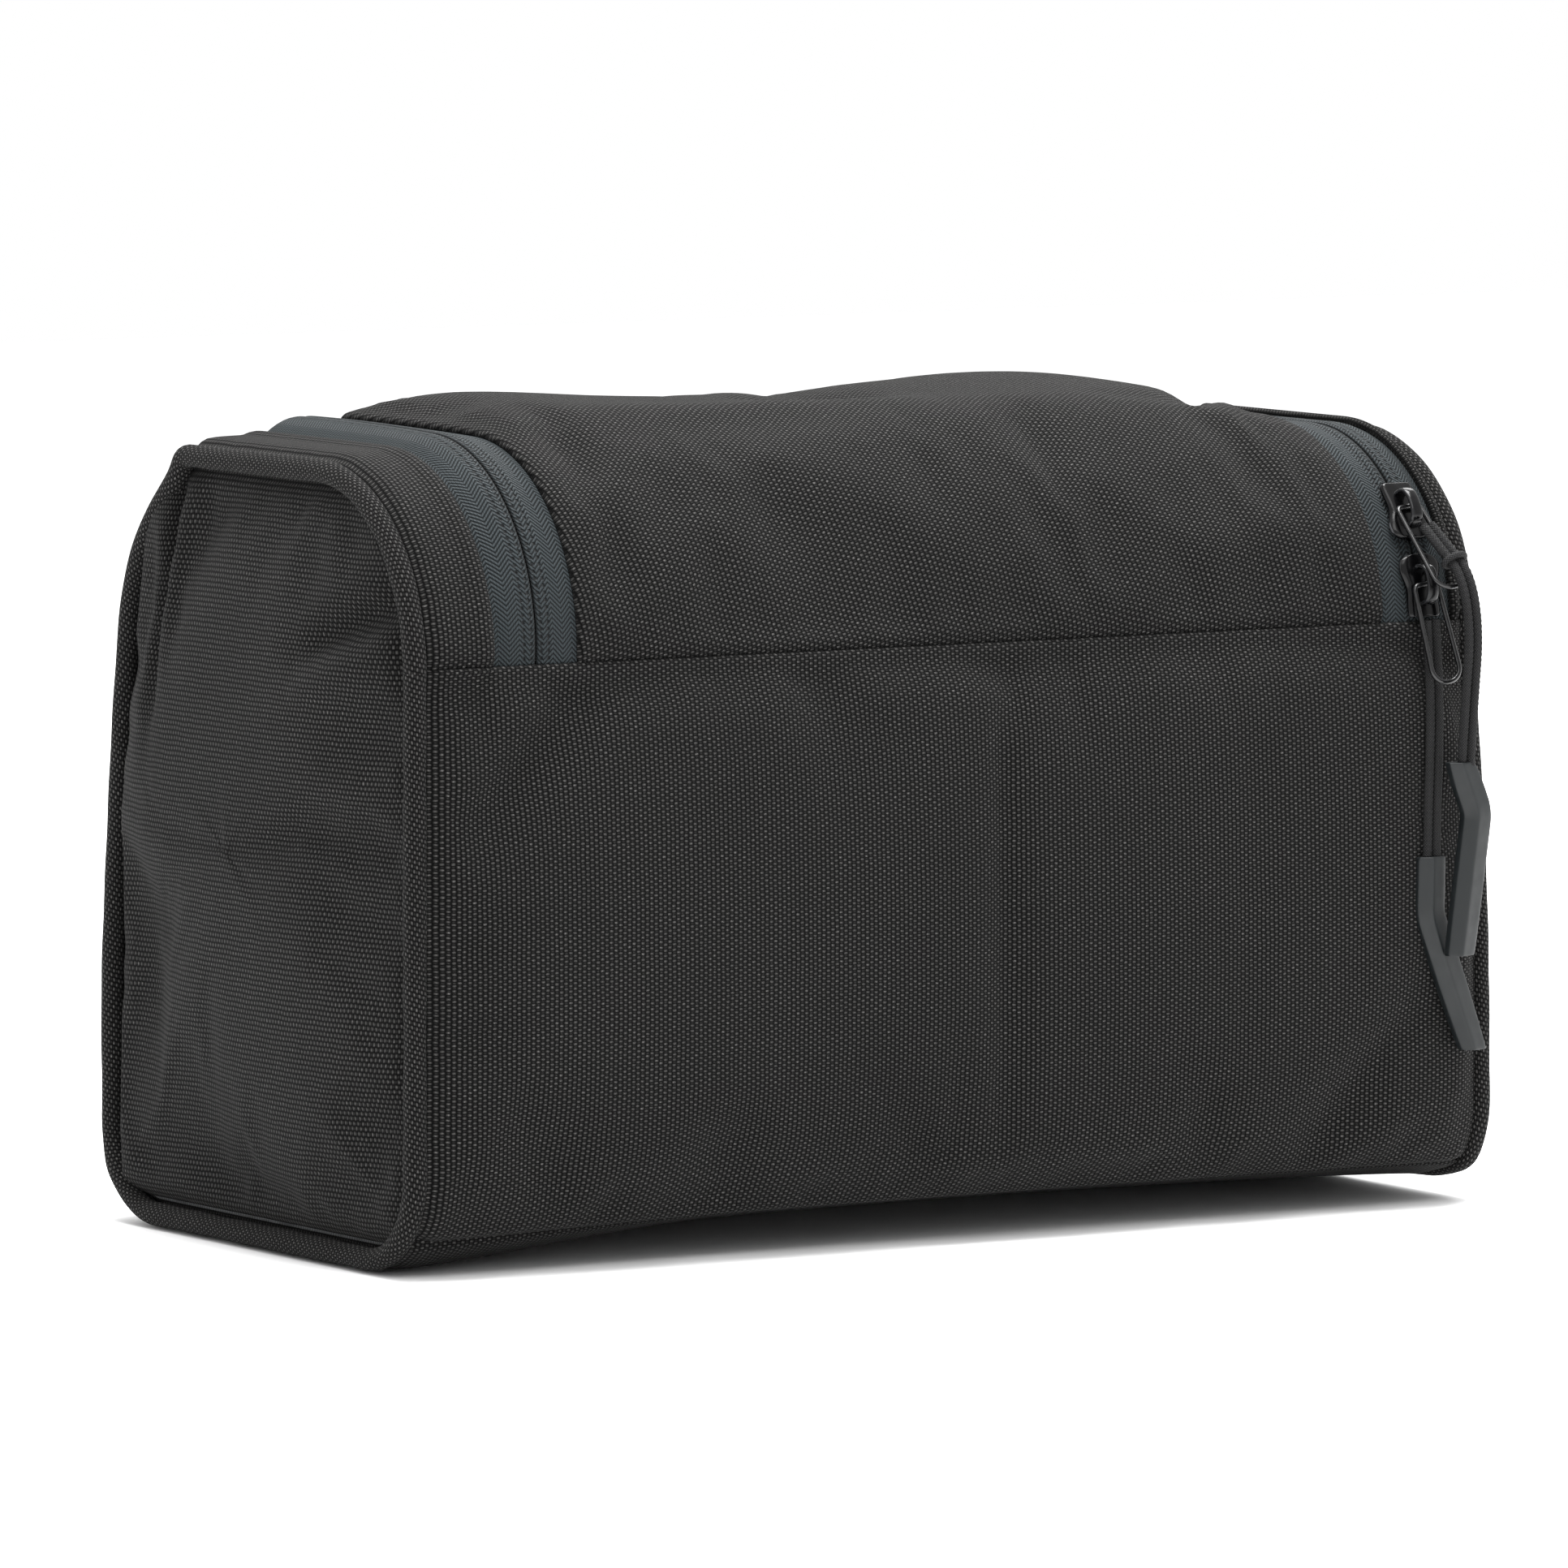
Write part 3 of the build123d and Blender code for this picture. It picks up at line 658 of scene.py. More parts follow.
LIGHTS_AIM = Vector((0, 0, 0.08))
for name, place, size, power in (
    ("key", (-0.5, -1.1, 1.5), 0.9, 10.0),
    ("fill", (-1.6, -0.5, 0.7), 1.0, 1.5),
    ("rim", (0.9, 0.8, 1.3), 0.8, 12.0),
    ("top", (0.1, -0.1, 1.9), 1.0, 74.0),
):
    light = bpy.data.lights.new(name, "AREA")
    light.size, light.energy = size, power
    lamp = bpy.data.objects.new(name, light)
    lamp.location = place
    lamp.rotation_euler = (LIGHTS_AIM - Vector(place)).to_track_quat("-Z", "Y").to_euler()
    bpy.context.scene.collection.objects.link(lamp)

FLOOR_HALF, FLOOR_Z = 3000, -0.5
floor_corners = [(x * FLOOR_HALF, y * FLOOR_HALF, FLOOR_Z) for x, y in ((-1, -1), (1, -1), (1, 1), (-1, 1))]
floor = mesh_object("floor", floor_corners, [(0, 1, 2, 3)])
pale = Shader("pale_floor", Roughness=0.9, Specular_IOR_Level=0.1)
pale.drive(Base_Color=pale.blend(pale.noise(pale.place(), 3.0), (0.93, 0.93, 0.93), (0.95, 0.95, 0.95)))
floor.data.materials.append(MATERIALS["pale_floor"])

# --- Pull cords: two braided strands side by side, from under the bridge to the grip ---
STRAND_R = 1.1
CORD_STEP = 0.3
PULLS = {
    "upper": {
        "route": [
            (118.7, -67.737, 149.9), (120.2, -72.737, 144.9), (121.9, -78.237, 139.6),
            (123.4, -79.537, 127.5), (122.5, -78.937, 112.0), (122.0, -78.137, 96.2),
        ],
        "length": 0.0583,
        "bend": ((121.0, -75.4, 142.4), (122.7, -78.9, 133.5)),
        "pivot": (117.6, -61.914, 153.751),
        "foot": (120.007, -75.970, 136.999),
        "grip": ((122.0, 95.8), (125.4, 87.4), (121.4, 58.9)),
        "grip_y": -78.137,
        "slider_deg": 34.0,
        "nose_up": False,
    },
    "lower": {
        "route": [
            (118.2, -70.237, 129.4), (118.7, -70.237, 121.5), (118.5, -71.337, 110.5),
            (117.5, -72.637, 99.0), (116.5, -73.437, 87.5), (116.2, -73.637, 75.2),
        ],
        "length": 0.0544,
        "bend": ((118.6, -70.3, 122.5), (118.5, -71.4, 111.0)),
        "pivot": (117.6, -68.862, 137.181),
        "foot": (120.185, -74.231, 116.003),
        "grip": ((116.2, 74.8), (116.0, 64.8), (126.6, 37.3)),
        "grip_y": -73.637,
        "slider_deg": 11.5,
        "nose_up": True,
    },
}


def spline_points(name, route):
    """Points along the route's NURBS spline, in millimetres."""
    curve = bpy.data.curves.new(name, "CURVE")
    curve.dimensions, curve.resolution_u = "3D", 24
    spline = curve.splines.new("NURBS")
    spline.points.add(len(route) - 1)
    for point, place in zip(spline.points, route):
        point.co = (*(c * MM for c in place), 1.0)
    spline.order_u = 3
    spline.use_endpoint_u = True
    obj = bpy.data.objects.new(name, curve)
    bpy.context.scene.collection.objects.link(obj)
    bpy.context.view_layer.update()
    line = bpy.data.meshes.new_from_object(obj)
    points = np.array([v.co for v in line.vertices]) / MM
    bpy.data.objects.remove(obj)
    bpy.data.meshes.remove(line)
    return points


def sides_of(points, across):
    """For each point, the side nearest to across, and the direction at a right angle to it."""
    across = np.asarray(across, float)
    tangent = unit(np.gradient(points, axis=0))
    side = unit(across - tangent * (tangent @ across)[:, None])
    return side, np.cross(tangent, side)


def rings_of(side, out, angles):
    """For each point, the directions at those angles round it."""
    return np.cos(angles)[:, None] * side[:, None] + np.sin(angles)[:, None] * out[:, None]


def tube(points, radius, around=14, across=(1, 0, 0), shift=0.0, closed=False):
    """Verts, faces and uv of a round tube beside points; radius may vary along it."""
    side, out = sides_of(points, across)
    if closed:
        for direction in (side, out):
            direction[0] = direction[-1] = unit(direction[0] + direction[-1])
    radius = np.broadcast_to(np.asarray(radius, float), len(points))
    angles = circuit(around)
    middle = points + side * shift
    verts = middle[:, None] + radius[:, None, None] * rings_of(side, out, angles)
    uv = stacked(angles[None] * float(radius.mean()), run_of(points)[:, None])
    return verts.reshape(-1, 3), grid_faces(len(points), around, wrap=True), uv.reshape(-1, 2)


def tube_object(name, *args, **settings):
    return recalc(mesh_object(name, *tube(*args, **settings)))


def joined(*parts):
    """Several (verts, faces, uv) as one."""
    verts, faces, uv, start = [], [], [], 0
    for v, f, t in parts:
        verts.append(v)
        uv.append(t)
        faces += [tuple(i + start for i in face) for face in f]
        start += len(v)
    return np.concatenate(verts), faces, np.concatenate(uv)


BRAID_AROUND, BRAID_RELIEF, BRAID_PITCH = 18, 0.11, 2.4


def braided_strand(points, side_shift, phase):
    """One strand, with the relief of its braid."""
    verts, faces, uv = tube(points, STRAND_R - 0.06, BRAID_AROUND, shift=side_shift)
    angles = circuit(BRAID_AROUND)
    ring = rings_of(*sides_of(points, (1, 0, 0)), angles)
    along = uv[:, 1].reshape(len(points), BRAID_AROUND) * 2 * pi / BRAID_PITCH
    relief = BRAID_RELIEF * np.cos(3 * angles + along + phase) * np.cos(3 * angles - along)
    return verts + (relief[..., None] * ring).reshape(-1, 3), faces, uv


def round_line(corners, radii, step_deg=9.0):
    """A closed planar line through corners, each rounded."""
    points = []
    for k, radius in enumerate(radii):
        before, here, after = (np.array(corners[(k + j) % len(corners)], float) for j in (-1, 0, 1))
        a, b = unit(before - here), unit(after - here)
        half = np.arccos(np.clip(a @ b, -1, 1)) / 2
        reach = radius / np.tan(half)
        centre = here + unit(a + b) * radius / np.sin(half)
        start, end = here + a * reach - centre, here + b * reach - centre
        sweep = np.arccos(np.clip(start @ end / radius**2, -1, 1))
        for t in np.linspace(0, 1, max(3, int(degrees(sweep) / step_deg)) + 1):
            mixed = np.sin((1 - t) * sweep) * start + np.sin(t * sweep) * end
            points.append(centre + mixed / np.sin(sweep))
    return np.array(points)


# A grip's section: width across, height out of the bag, with a ridge along the middle of its front
GRIP_SECTION = [
    (-3.6, 0.1), (-3.5, 0.45), (-2.5, 1.2), (-1.3, 2.1), (-0.9, 2.22), (-0.4, 2.1), (1.4, 1.35), (3.45, 0.6),
    (3.6, 0.2), (3.6, -1.3), (3.2, -1.95), (1.8, -2.05), (-1.8, -2.05), (-3.2, -1.95), (-3.6, -1.3),
]
GRIP_TOP_PAST, GRIP_TIP_PAST, GRIP_BEND = 3.0, 2.8, 2.2


def grip_mesh(name, pull):
    """Moulded grip: a kinked bar with a soft ridge along it and flat cut ends."""
    top, kink, tip = (np.array((x, pull["grip_y"], z)) for x, z in pull["grip"])
    a, b = unit(top - kink), unit(tip - kink)
    top, tip = top + a * GRIP_TOP_PAST, tip + b * GRIP_TIP_PAST
    upper = [top * t + kink * (1 - t) for t in (1.0, 0.985, 0.7)]
    bend = [kink + GRIP_BEND * (a * (1 - t) ** 2 + b * t**2) for t in np.linspace(0, 1, 7)]
    lower = [kink * (1 - t) + tip * t for t in (0.25, 0.6, 0.97, 1.0)]
    line = np.array(upper + bend + lower)
    tangent = unit(np.gradient(line, axis=0))
    out = np.array((0.0, -1.0, 0.0))
    side = unit(np.cross(out, tangent))
    verts = []
    for k, p in enumerate(line):
        from_end = min(k, len(line) - 1 - k)
        size = 1.0 if from_end else 0.94
        across = size * (tangent[k][2] ** 2 if from_end < 2 else 1.0)
        ring = np.array([p + side[k] * w * across + out * h * size for w, h in GRIP_SECTION])
        if from_end < 2:  # both ends are cut level
            ring += tangent[k] * ((p[2] - ring[:, 2]) / tangent[k][2])[:, None]
        verts += list(ring)
    obj = recalc(mesh_object(name, verts, bar_faces(len(line), len(GRIP_SECTION))))
    modifier(obj, "BEVEL", width=0.16 * MM, segments=2, limit_method="ANGLE", angle_limit=0.9)
    return rounded(obj)


def slider_axes(pull):
    """Origin, side, along (to the nose) and out of the bag, of a slider on the rear shoulder."""
    a = pull["slider_deg"] * pi / 180
    out = np.array((0.0, -cos(a), sin(a)))
    side = np.array((1.0 if pull["nose_up"] else -1.0, 0.0, 0.0))
    origin = np.array((ZIP_RIGHT, REAR_Y + REAR_R, HINGE_Z)) + out * REAR_R
    return origin, side, np.cross(out, side), out


# A slider's plate from tail to nose: place, half width, and how much of the doming it has
PLATE = [
    (-7.0, 3.3, 0.0), (-6.9, 3.9, 0.25), (-6.2, 4.15, 0.5), (-4.2, 4.1, 0.75), (-2.2, 3.85, 0.9),
    (-0.4, 3.9, 1.0), (1.4, 4.6, 1.0), (3.0, 5.2, 0.95), (4.6, 5.3, 0.8), (5.8, 4.7, 0.6),
    (6.6, 3.5, 0.4), (7.0, 1.9, 0.1),
]
PLATE_TOP = (-1.0, -0.97, -0.86, -0.62, -0.3, 0.0, 0.3, 0.62, 0.86, 0.97, 1.0)
PLATE_UNDER = (1.0, 0.86, 0.78, 0.3, -0.3, -0.78, -0.86, -1.0)


def slider_plate(origin, side, along, out, floor, thick, dome, rim, down):
    """(verts, faces, uv) of a domed plate with rims turned down, or up, over the zip."""
    verts = []
    for at, half, height in PLATE:
        lower = floor - rim if abs(at) < 6.8 else floor
        section_of = []
        for w in PLATE_TOP:
            edge = 0.55 if abs(w) > 0.9 else 1.0
            section_of.append((w, floor + thick * edge + dome * height * (1 - abs(w) ** 2.2)))
        section_of += [(w, floor if abs(w) < 0.8 else lower) for w in PLATE_UNDER]
        for w, h in section_of:
            verts.append(origin + side * w * half + along * at + out * (h if down else 2 * floor - h))
    return np.array(verts), bar_faces(len(PLATE), len(section_of)), np.zeros((len(verts), 2))


POST_AT, POST_W, POST_L, POST_AROUND = 4.2, 1.7, 2.3, 20


def slider_mesh(name, pull):
    """Both plates and the post between them."""
    origin, side, along, out = slider_axes(pull)
    top = slider_plate(origin, side, along, out, 0.45, 1.0, 0.55, 0.35, True)
    low = slider_plate(origin, side, along, out, -4.1, 0.9, 0.15, 0.3, False)
    post = np.array([
        origin + side * POST_W * np.cos(t) + along * (POST_AT + POST_L * np.sin(t)) + out * level
        for level in (-4.2, 0.7) for t in circuit(POST_AROUND)
    ])
    middle = (post, grid_faces(2, POST_AROUND, wrap=True), np.zeros((len(post), 2)))
    return rounded(recalc(mesh_object(name, *joined(top, low, middle)[:2])))


# Half of a bridge's arch, from its foot to its top: along, out of the bag, half width
ARCH = [
    (4.1, 1.2, 1.9), (4.2, 2.2, 1.8), (4.0, 3.6, 1.6), (3.2, 4.7, 1.5), (1.8, 5.2, 1.42), (0.0, 5.35, 1.4),
]
BRIDGE_SECTION = [
    (-1, -0.45), (-1, 0.0), (-0.85, 0.42), (0, 0.6), (0.85, 0.42), (1, 0.0), (1, -0.45), (0, -0.5),
]


def bridge_mesh(name, pull):
    """The arch along the slider that holds the wire loop."""
    origin, side, along, out = slider_axes(pull)
    arch = [(-a, h, w) for a, h, w in ARCH] + ARCH[-2::-1]
    line = np.array([origin + along * a + out * h for a, h, _ in arch])
    normal = np.cross(unit(np.gradient(line, axis=0)), side)
    normal *= np.sign(normal[len(line) // 2] @ out)
    verts = [
        p + side * w * half + n * h
        for p, n, (_, _, half) in zip(line, normal, arch) for w, h in BRIDGE_SECTION
    ]
    return rounded(recalc(mesh_object(name, verts, bar_faces(len(line), len(BRIDGE_SECTION)))))


LOOP_CORNERS, LOOP_RADII = [(-3.1, 0), (3.1, 0), (3.8, -22.0), (-3.8, -22.0)], [1.3, 1.3, 3.3, 3.3]
WIRE_R = 0.55


def loop_mesh(name, pull):
    """Bent wire with its ends meeting inside the bridge."""
    pivot, foot = np.array(pull["pivot"]), np.array(pull["foot"])
    way = unit(foot - pivot)
    across = unit(np.array((1.0, 0, 0)) - way * way[0])
    flat = round_line(LOOP_CORNERS, LOOP_RADII)
    flat = np.concatenate([flat, flat[:1]])
    points = even_points(np.array([pivot + across * a - way * b for a, b in flat]), 0.5)
    return tube_object(name, points, WIRE_R, across=np.cross(way, across), closed=True)


for name, pull in PULLS.items():
    line = even_points(spline_points(f"{name}_route", pull["route"]), CORD_STEP)
    strands = [braided_strand(line, shift, phase) for shift, phase in ((-STRAND_R, 0.0), (STRAND_R, 1.3))]
    cord = recalc(mesh_object(f"{name}_pull_cord_strands", *joined(*strands)))
    cord.data.materials.append(MATERIALS["braided_cord"])
    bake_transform(cord)
    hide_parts(f"{name}_pull_cord")
    grip = finish_piece(grip_mesh(f"{name}_grip", pull), f"{name}_pull", "pull_rubber", f"{name}_pull_grip")
    slider = f"{name}_slider"
    finish_piece(slider_mesh(slider, pull), slider, "slider_metal", f"{slider}_body")
    finish_piece(bridge_mesh(f"{name}_bridge", pull), slider, "slider_metal", f"{slider}_bridge")
    finish_piece(loop_mesh(f"{name}_loop_wire", pull), f"{name}_loop", "wire", f"{name}_wire_loop")

# The upper cord is looped onto its wire by a lark's head, whose bight lies across both strands.
BIGHT_AT, BIGHT_W, BIGHT_H, BIGHT_R = 10.5, 2.9, 1.75, 0.72
upper_line = even_points(spline_points("upper_bight", PULLS["upper"]["route"]), CORD_STEP)
k = int(BIGHT_AT / CORD_STEP)
side, out = (directions[k] for directions in sides_of(upper_line, (1, 0, 0)))
turn = np.linspace(0, 2 * pi, 49)[:, None]
bight_line = upper_line[k] + side * BIGHT_W * np.cos(turn) + out * BIGHT_H * np.sin(turn)
bight = tube_object("upper_cord_bight", bight_line, BIGHT_R, 12, across=np.cross(side, out), closed=True)
finish_piece(bight, "upper_loop", "braided_cord")

# --- The bag's skin: outer fabric, foam and lining in one set of layers ---
LID_GRAIN = 0.227  # the lid was cut 13 degrees off the grain
SEAM_GAP = 0.1  # how far a panel stays from a seam, and the hinge's is wider
HINGE_GAP = 0.25
LAYERS = {
    # slot, word in the pieces' names, lift and thickness in the walls, lift and thickness in the ends
    "panel": ("canvas", "panel_cloth", (0.0, 0.9), (0.0, 0.9)),
    "foam": ("foam", "padding", (-1.25, 1.5), (-1.1, 2.0)),
    "lining": ("lining", "lining_cloth", (-3.45, 0.5), (-3.3, 0.5)),
}


def plain_grid(low_x, high_x, low_s, length):
    """A function for x and s over a panel that is a rectangle on the section."""
    return lambda rows, columns: np.meshgrid(low_x + columns * (high_x - low_x), low_s + rows * length)


def strip_grid(low_x, high_x):
    """A strip beside the zip, from the hinge seam to the front panel's top."""
    return plain_grid(low_x, high_x, HINGE_GAP, front_s(HINGE_Z) - 0.35)


def lid_grid(rows, columns):
    """x and s over the lid, whose front corners are round."""
    r = ZIP_R - TAPE_W
    s = HINGE_GAP + rows * (S_LID - HINGE_GAP)
    past = np.clip(s - S_LID + r, 0, r)
    pull_in = (r - np.sqrt(r**2 - past**2))[:, None]
    low_x, high_x = ZIP_LEFT + TAPE_W + pull_in, ZIP_RIGHT - TAPE_W - pull_in
    x = low_x * (1 - columns) + high_x * columns
    return x, np.broadcast_to(s[:, None], x.shape)


CUT_R = ZIP_R + TAPE_W


def front_grid(rows, columns):
    """x and s over the front panel, cut out round the zip."""
    x = -WALL_X + columns * 2 * WALL_X
    past = np.clip(np.maximum(TURN_LEFT - x, x - TURN_RIGHT), 0, CUT_R)
    low = S_TURN + np.sqrt(np.clip(CUT_R**2 - past**2, 0, None))
    low = np.maximum(low, front_s(HINGE_Z) + SEAM_GAP)[None]
    s = low * (1 - rows[:, None]) + (S_SEAM_FRONT - SEAM_GAP) * rows[:, None]
    return np.broadcast_to(x[None], s.shape), s


def front_columns():
    """Columns of the front panel, close together where its top edge turns up beside the zip."""
    turn = np.linspace(0, QUARTER, 22)
    x = np.concatenate([
        spaced(-WALL_X, TURN_LEFT - CUT_R, 2.4)[:-1], TURN_LEFT - CUT_R * np.cos(turn),
        np.linspace(TURN_LEFT, TURN_RIGHT, 70)[1:-1],
        TURN_RIGHT + CUT_R * np.sin(turn), spaced(TURN_RIGHT + CUT_R, WALL_X, 2.4)[1:],
    ])
    return (x + WALL_X) / (2 * WALL_X)


def lid_rows():
    """Rows of the lid, close together where its front corners turn."""
    steps, straight = unit_steps(S_LID), S_LID - ZIP_R + TAPE_W
    turn = straight + (ZIP_R - TAPE_W) * np.sin(np.linspace(0, QUARTER, 16))
    return np.unique(np.concatenate([steps[steps < straight / S_LID], turn / S_LID]))


def wall_lift(x, s, kind):
    """How the outer fabric stands at its edges."""
    piping, off_zip = WALL_X - np.abs(x), from_zip(x, s)
    if kind == "lid":
        return fold(-off_zip - TAPE_W) + tuck(s, 1.3, 1.8)
    if kind == "strip":
        return tuck(piping, 1.5, 1.6) + fold(off_zip - TAPE_W) + tuck(s, 1.3, 1.8)
    if kind == "front":
        return tuck(piping) + fold(off_zip - TAPE_W) + tuck(S_SEAM_FRONT - s, 1.0, 2.0)
    if kind == "back":
        return tuck(piping) + fold(0.9 - s) + tuck(s - S_SEAM_BACK, 1.2, 2.0)
    inner = np.minimum(s - S_SEAM_FRONT, S_SEAM_BACK + GIRTH - s)
    return tuck(piping, 1.2, 2.0) * 0.6 + tuck(inner, 1.4, 1.6) - 0.15


back_grid = plain_grid(-WALL_X, WALL_X, S_SEAM_BACK + SEAM_GAP, 0.8 - S_SEAM_BACK)
base_low = S_SEAM_FRONT + SEAM_GAP
base_grid = plain_grid(-WALL_X, WALL_X, base_low, S_SEAM_BACK + GIRTH - SEAM_GAP - base_low)
PANELS = {
    # grid, its rows and columns, body, CAD name of its inner layers, how its edges stand
    "back": (back_grid, unit_steps(124), unit_steps(265), "bag", "back", "back"),
    "front": (front_grid, unit_steps(90), front_columns(), "bag", "front", "front"),
    "base": (base_grid, unit_steps(130, 3.0), unit_steps(265, 3.0), "bag", "base", "base"),
    "left_side_strip": (
        strip_grid(-WALL_X, ZIP_LEFT - TAPE_W), unit_steps(190), unit_steps(15.4), "bag", "left_strip", "strip",
    ),
    "right_side_strip": (
        strip_grid(ZIP_RIGHT + TAPE_W, WALL_X), unit_steps(190), unit_steps(4.4), "bag", "right_strip", "strip",
    ),
    "lid": (lid_grid, lid_rows(), unit_steps(205), "lid", "lid", "lid"),
}
ENDS = {"left": -1, "right": 1}
END_SEAM, END_FACE = 5.2, END_X - 1.2


def end_swell(y, z, side):
    """How far an end stands out between its pipings, with the creases that the photograph shows."""
    near = np.minimum.reduce([y - REAR_Y, FAR_Y - y, z, HEIGHT - z]) - END_SEAM
    out = 7.0 * rise(near, 15) * (0.75 + 0.25 * np.sin(pi * np.clip(z / HEIGHT, 0, 1) ** 0.7))
    scale, shift = (1.0, 0.0) if side < 0 else (0.7, -6.0)
    for *ends, width, depth in END_CREASES:
        out = out + valley(y, z + shift, ends[:2], ends[2:], width, depth * scale) * smooth(near, 0, 6)
    return out + 1.4 * smooth(y, 38, 60) * smooth(near, 0, 5), near


def end_points(rings, around, inset, lift, side, groove=False):
    """Points of an end, ring by ring from its edge towards its middle."""
    y, z, ny, nz = section(around)
    y, z = y - ny * inset, z - nz * inset
    t = 1 - rings[:, None]
    y, z = MIDDLE_Y + (y - MIDDLE_Y) * t, HEIGHT / 2 + (z - HEIGHT / 2) * t
    swollen, edge = end_swell(y, z, side)
    x = side * (END_FACE + swollen + lift + (tuck(edge, 1.2, 2.0) if groove else 0))
    return slouch(stacked(x, y, z)), stacked(z, y)


# --- Cloth simulation of the padded panels ---
SETTLED = {"back": (31, 66), "front": (26, 66), "lid": (54, 52), "left": (18, 120), "right": (18, 120)}
END_SETTLED_TO = 0.94  # how far towards an end's middle its simulated rings go
SETTLE_FRAMES, SETTLE_CAP = 22, 3.2


def settle():
    """The cloth is cut a little too large, sewn in at its edges and blown up from inside. Returns
    how far each point of the coarse grids moves, in millimetres."""
    grids, faces, pinned, start = {}, [], [], 0
    for name, (rows, columns) in SETTLED.items():
        edge = np.zeros((rows, columns), bool)
        edge[0] = True
        quads = grid_faces(rows, columns, wrap=name in ENDS)
        if name in ENDS:
            around = circuit(columns, GIRTH)
            rings = np.linspace(0, END_SETTLED_TO, rows)
            grids[name], _ = end_points(rings, around, 5.0, 0.0, ENDS[name])
            quads = quads if ENDS[name] < 0 else [f[::-1] for f in quads]
        else:
            grids[name] = skin(*PANELS[name][0](np.linspace(0, 1, rows), np.linspace(0, 1, columns)))
            edge[-1] = edge[:, 0] = edge[:, -1] = True
        faces += [tuple(i + start for i in f) for f in quads]
        pinned.append(edge.ravel())
        start += rows * columns
    moved = {name: np.zeros_like(points) for name, points in grids.items()}
    points = np.concatenate([p.reshape(-1, 3) for p in grids.values()])
    cloth = mesh_object("settling", points, faces)

    def face_out(work):
        for face in work.faces:
            if face.normal.dot(face.calc_center_median() - MIDDLE) < 0:
                face.normal_flip()

    with_faces_of(cloth, face_out)
    group = cloth.vertex_groups.new(name="sewn")
    group.add([int(i) for i in np.flatnonzero(np.concatenate(pinned))], 1.0, "REPLACE")
    added = cloth.modifiers.new("cloth", "CLOTH")
    added.collision_settings.use_collision = False
    cut = added.settings
    cut.quality, cut.mass, cut.air_damping = 6, 0.3, 3.0
    cut.tension_stiffness = cut.compression_stiffness = 25.0
    cut.shear_stiffness, cut.bending_stiffness = 12.0, 0.6
    cut.shrink_min = -0.022
    cut.use_pressure, cut.uniform_pressure_force = True, 1.6
    cut.vertex_group_mass = "sewn"
    cut.effector_weights.gravity = 0.0
    scene = bpy.context.scene
    for number in range(1, SETTLE_FRAMES + 1):
        scene.frame_set(number)
    shape = cloth.evaluated_get(bpy.context.evaluated_depsgraph_get()).data
    ends = np.zeros(len(shape.vertices) * 3)
    shape.vertices.foreach_get("co", ends)
    travel = ends.reshape(-1, 3) / MM - points
    scene.frame_set(1)
    bpy.data.objects.remove(cloth)
    far = np.maximum(np.linalg.norm(travel, axis=1, keepdims=True), 1e-6)
    travel = travel * (SETTLE_CAP * np.tanh(far / SETTLE_CAP) / far)
    for name, grid in grids.items():
        moved[name], travel = travel[: grid[..., 0].size].reshape(grid.shape), travel[grid[..., 0].size :]
    return moved


def weights(wanted, count, wrap=False, last=1.0):
    """A smooth way from a coarse grid's values to the wanted places."""
    at = np.linspace(0, last, count, endpoint=not wrap)
    apart = wanted[:, None] - at[None]
    if wrap:
        apart = (apart + 0.5) % 1 - 0.5
    w = np.exp(-((apart / (0.75 * last / count)) ** 2))
    return w / w.sum(1, keepdims=True)


def from_coarse(values, rows, columns, wrap=False, last=1.0):
    a, b = weights(rows, values.shape[0], False, last), weights(columns, values.shape[1], wrap)
    return np.einsum("ri,ijk,cj->rck", a, values, b)


MOVED = settle()

# --- Panels ---
BASE_LINING_DROP = 1.3  # the base's lining lies on its stiffener


for name, (grid, rows, columns, body, cad_name, kind) in PANELS.items():
    x, s = grid(rows, columns)
    travel = np.zeros((*x.shape, 3))
    if name in SETTLED:
        off_zip = from_zip(x, s)
        seams = {"back": (s - S_SEAM_BACK, -s), "front": (S_SEAM_FRONT - s, off_zip - TAPE_W)}
        edge = np.minimum.reduce([*seams.get(name, (-off_zip - TAPE_W, s)), WALL_X - np.abs(x)])
        travel = from_coarse(MOVED[name], rows, columns) * smooth(edge, 0.5, 7)[..., None]
    grain = LID_GRAIN if name == "lid" else 0.0
    uv = stacked(x * cos(grain) + s * sin(grain), s * cos(grain) - x * sin(grain))
    for layer, (slot, word, (lift, thickness), _) in LAYERS.items():
        node, height = f"{cad_name}_{layer}", wall_lift(x, s, kind)
        if layer != "panel":
            height = lift + np.minimum(height, 0)
        elif kind == "strip":
            node = name
        if (name, layer) == ("base", "lining"):
            height = height - BASE_LINING_DROP
        points = skin(x, s, height) + travel
        piece = sheet_piece(f"{name}_{word}", points, uv, thickness, body, slot, node)

x, s = base_grid(np.linspace(0.16, 0.84, 30), np.linspace(0.025, 0.975, 60))
sheet_piece("base_stiffener", skin(x, s, -3.35), stacked(x, s), 1.2, "bag", "stiffener", "base_board")

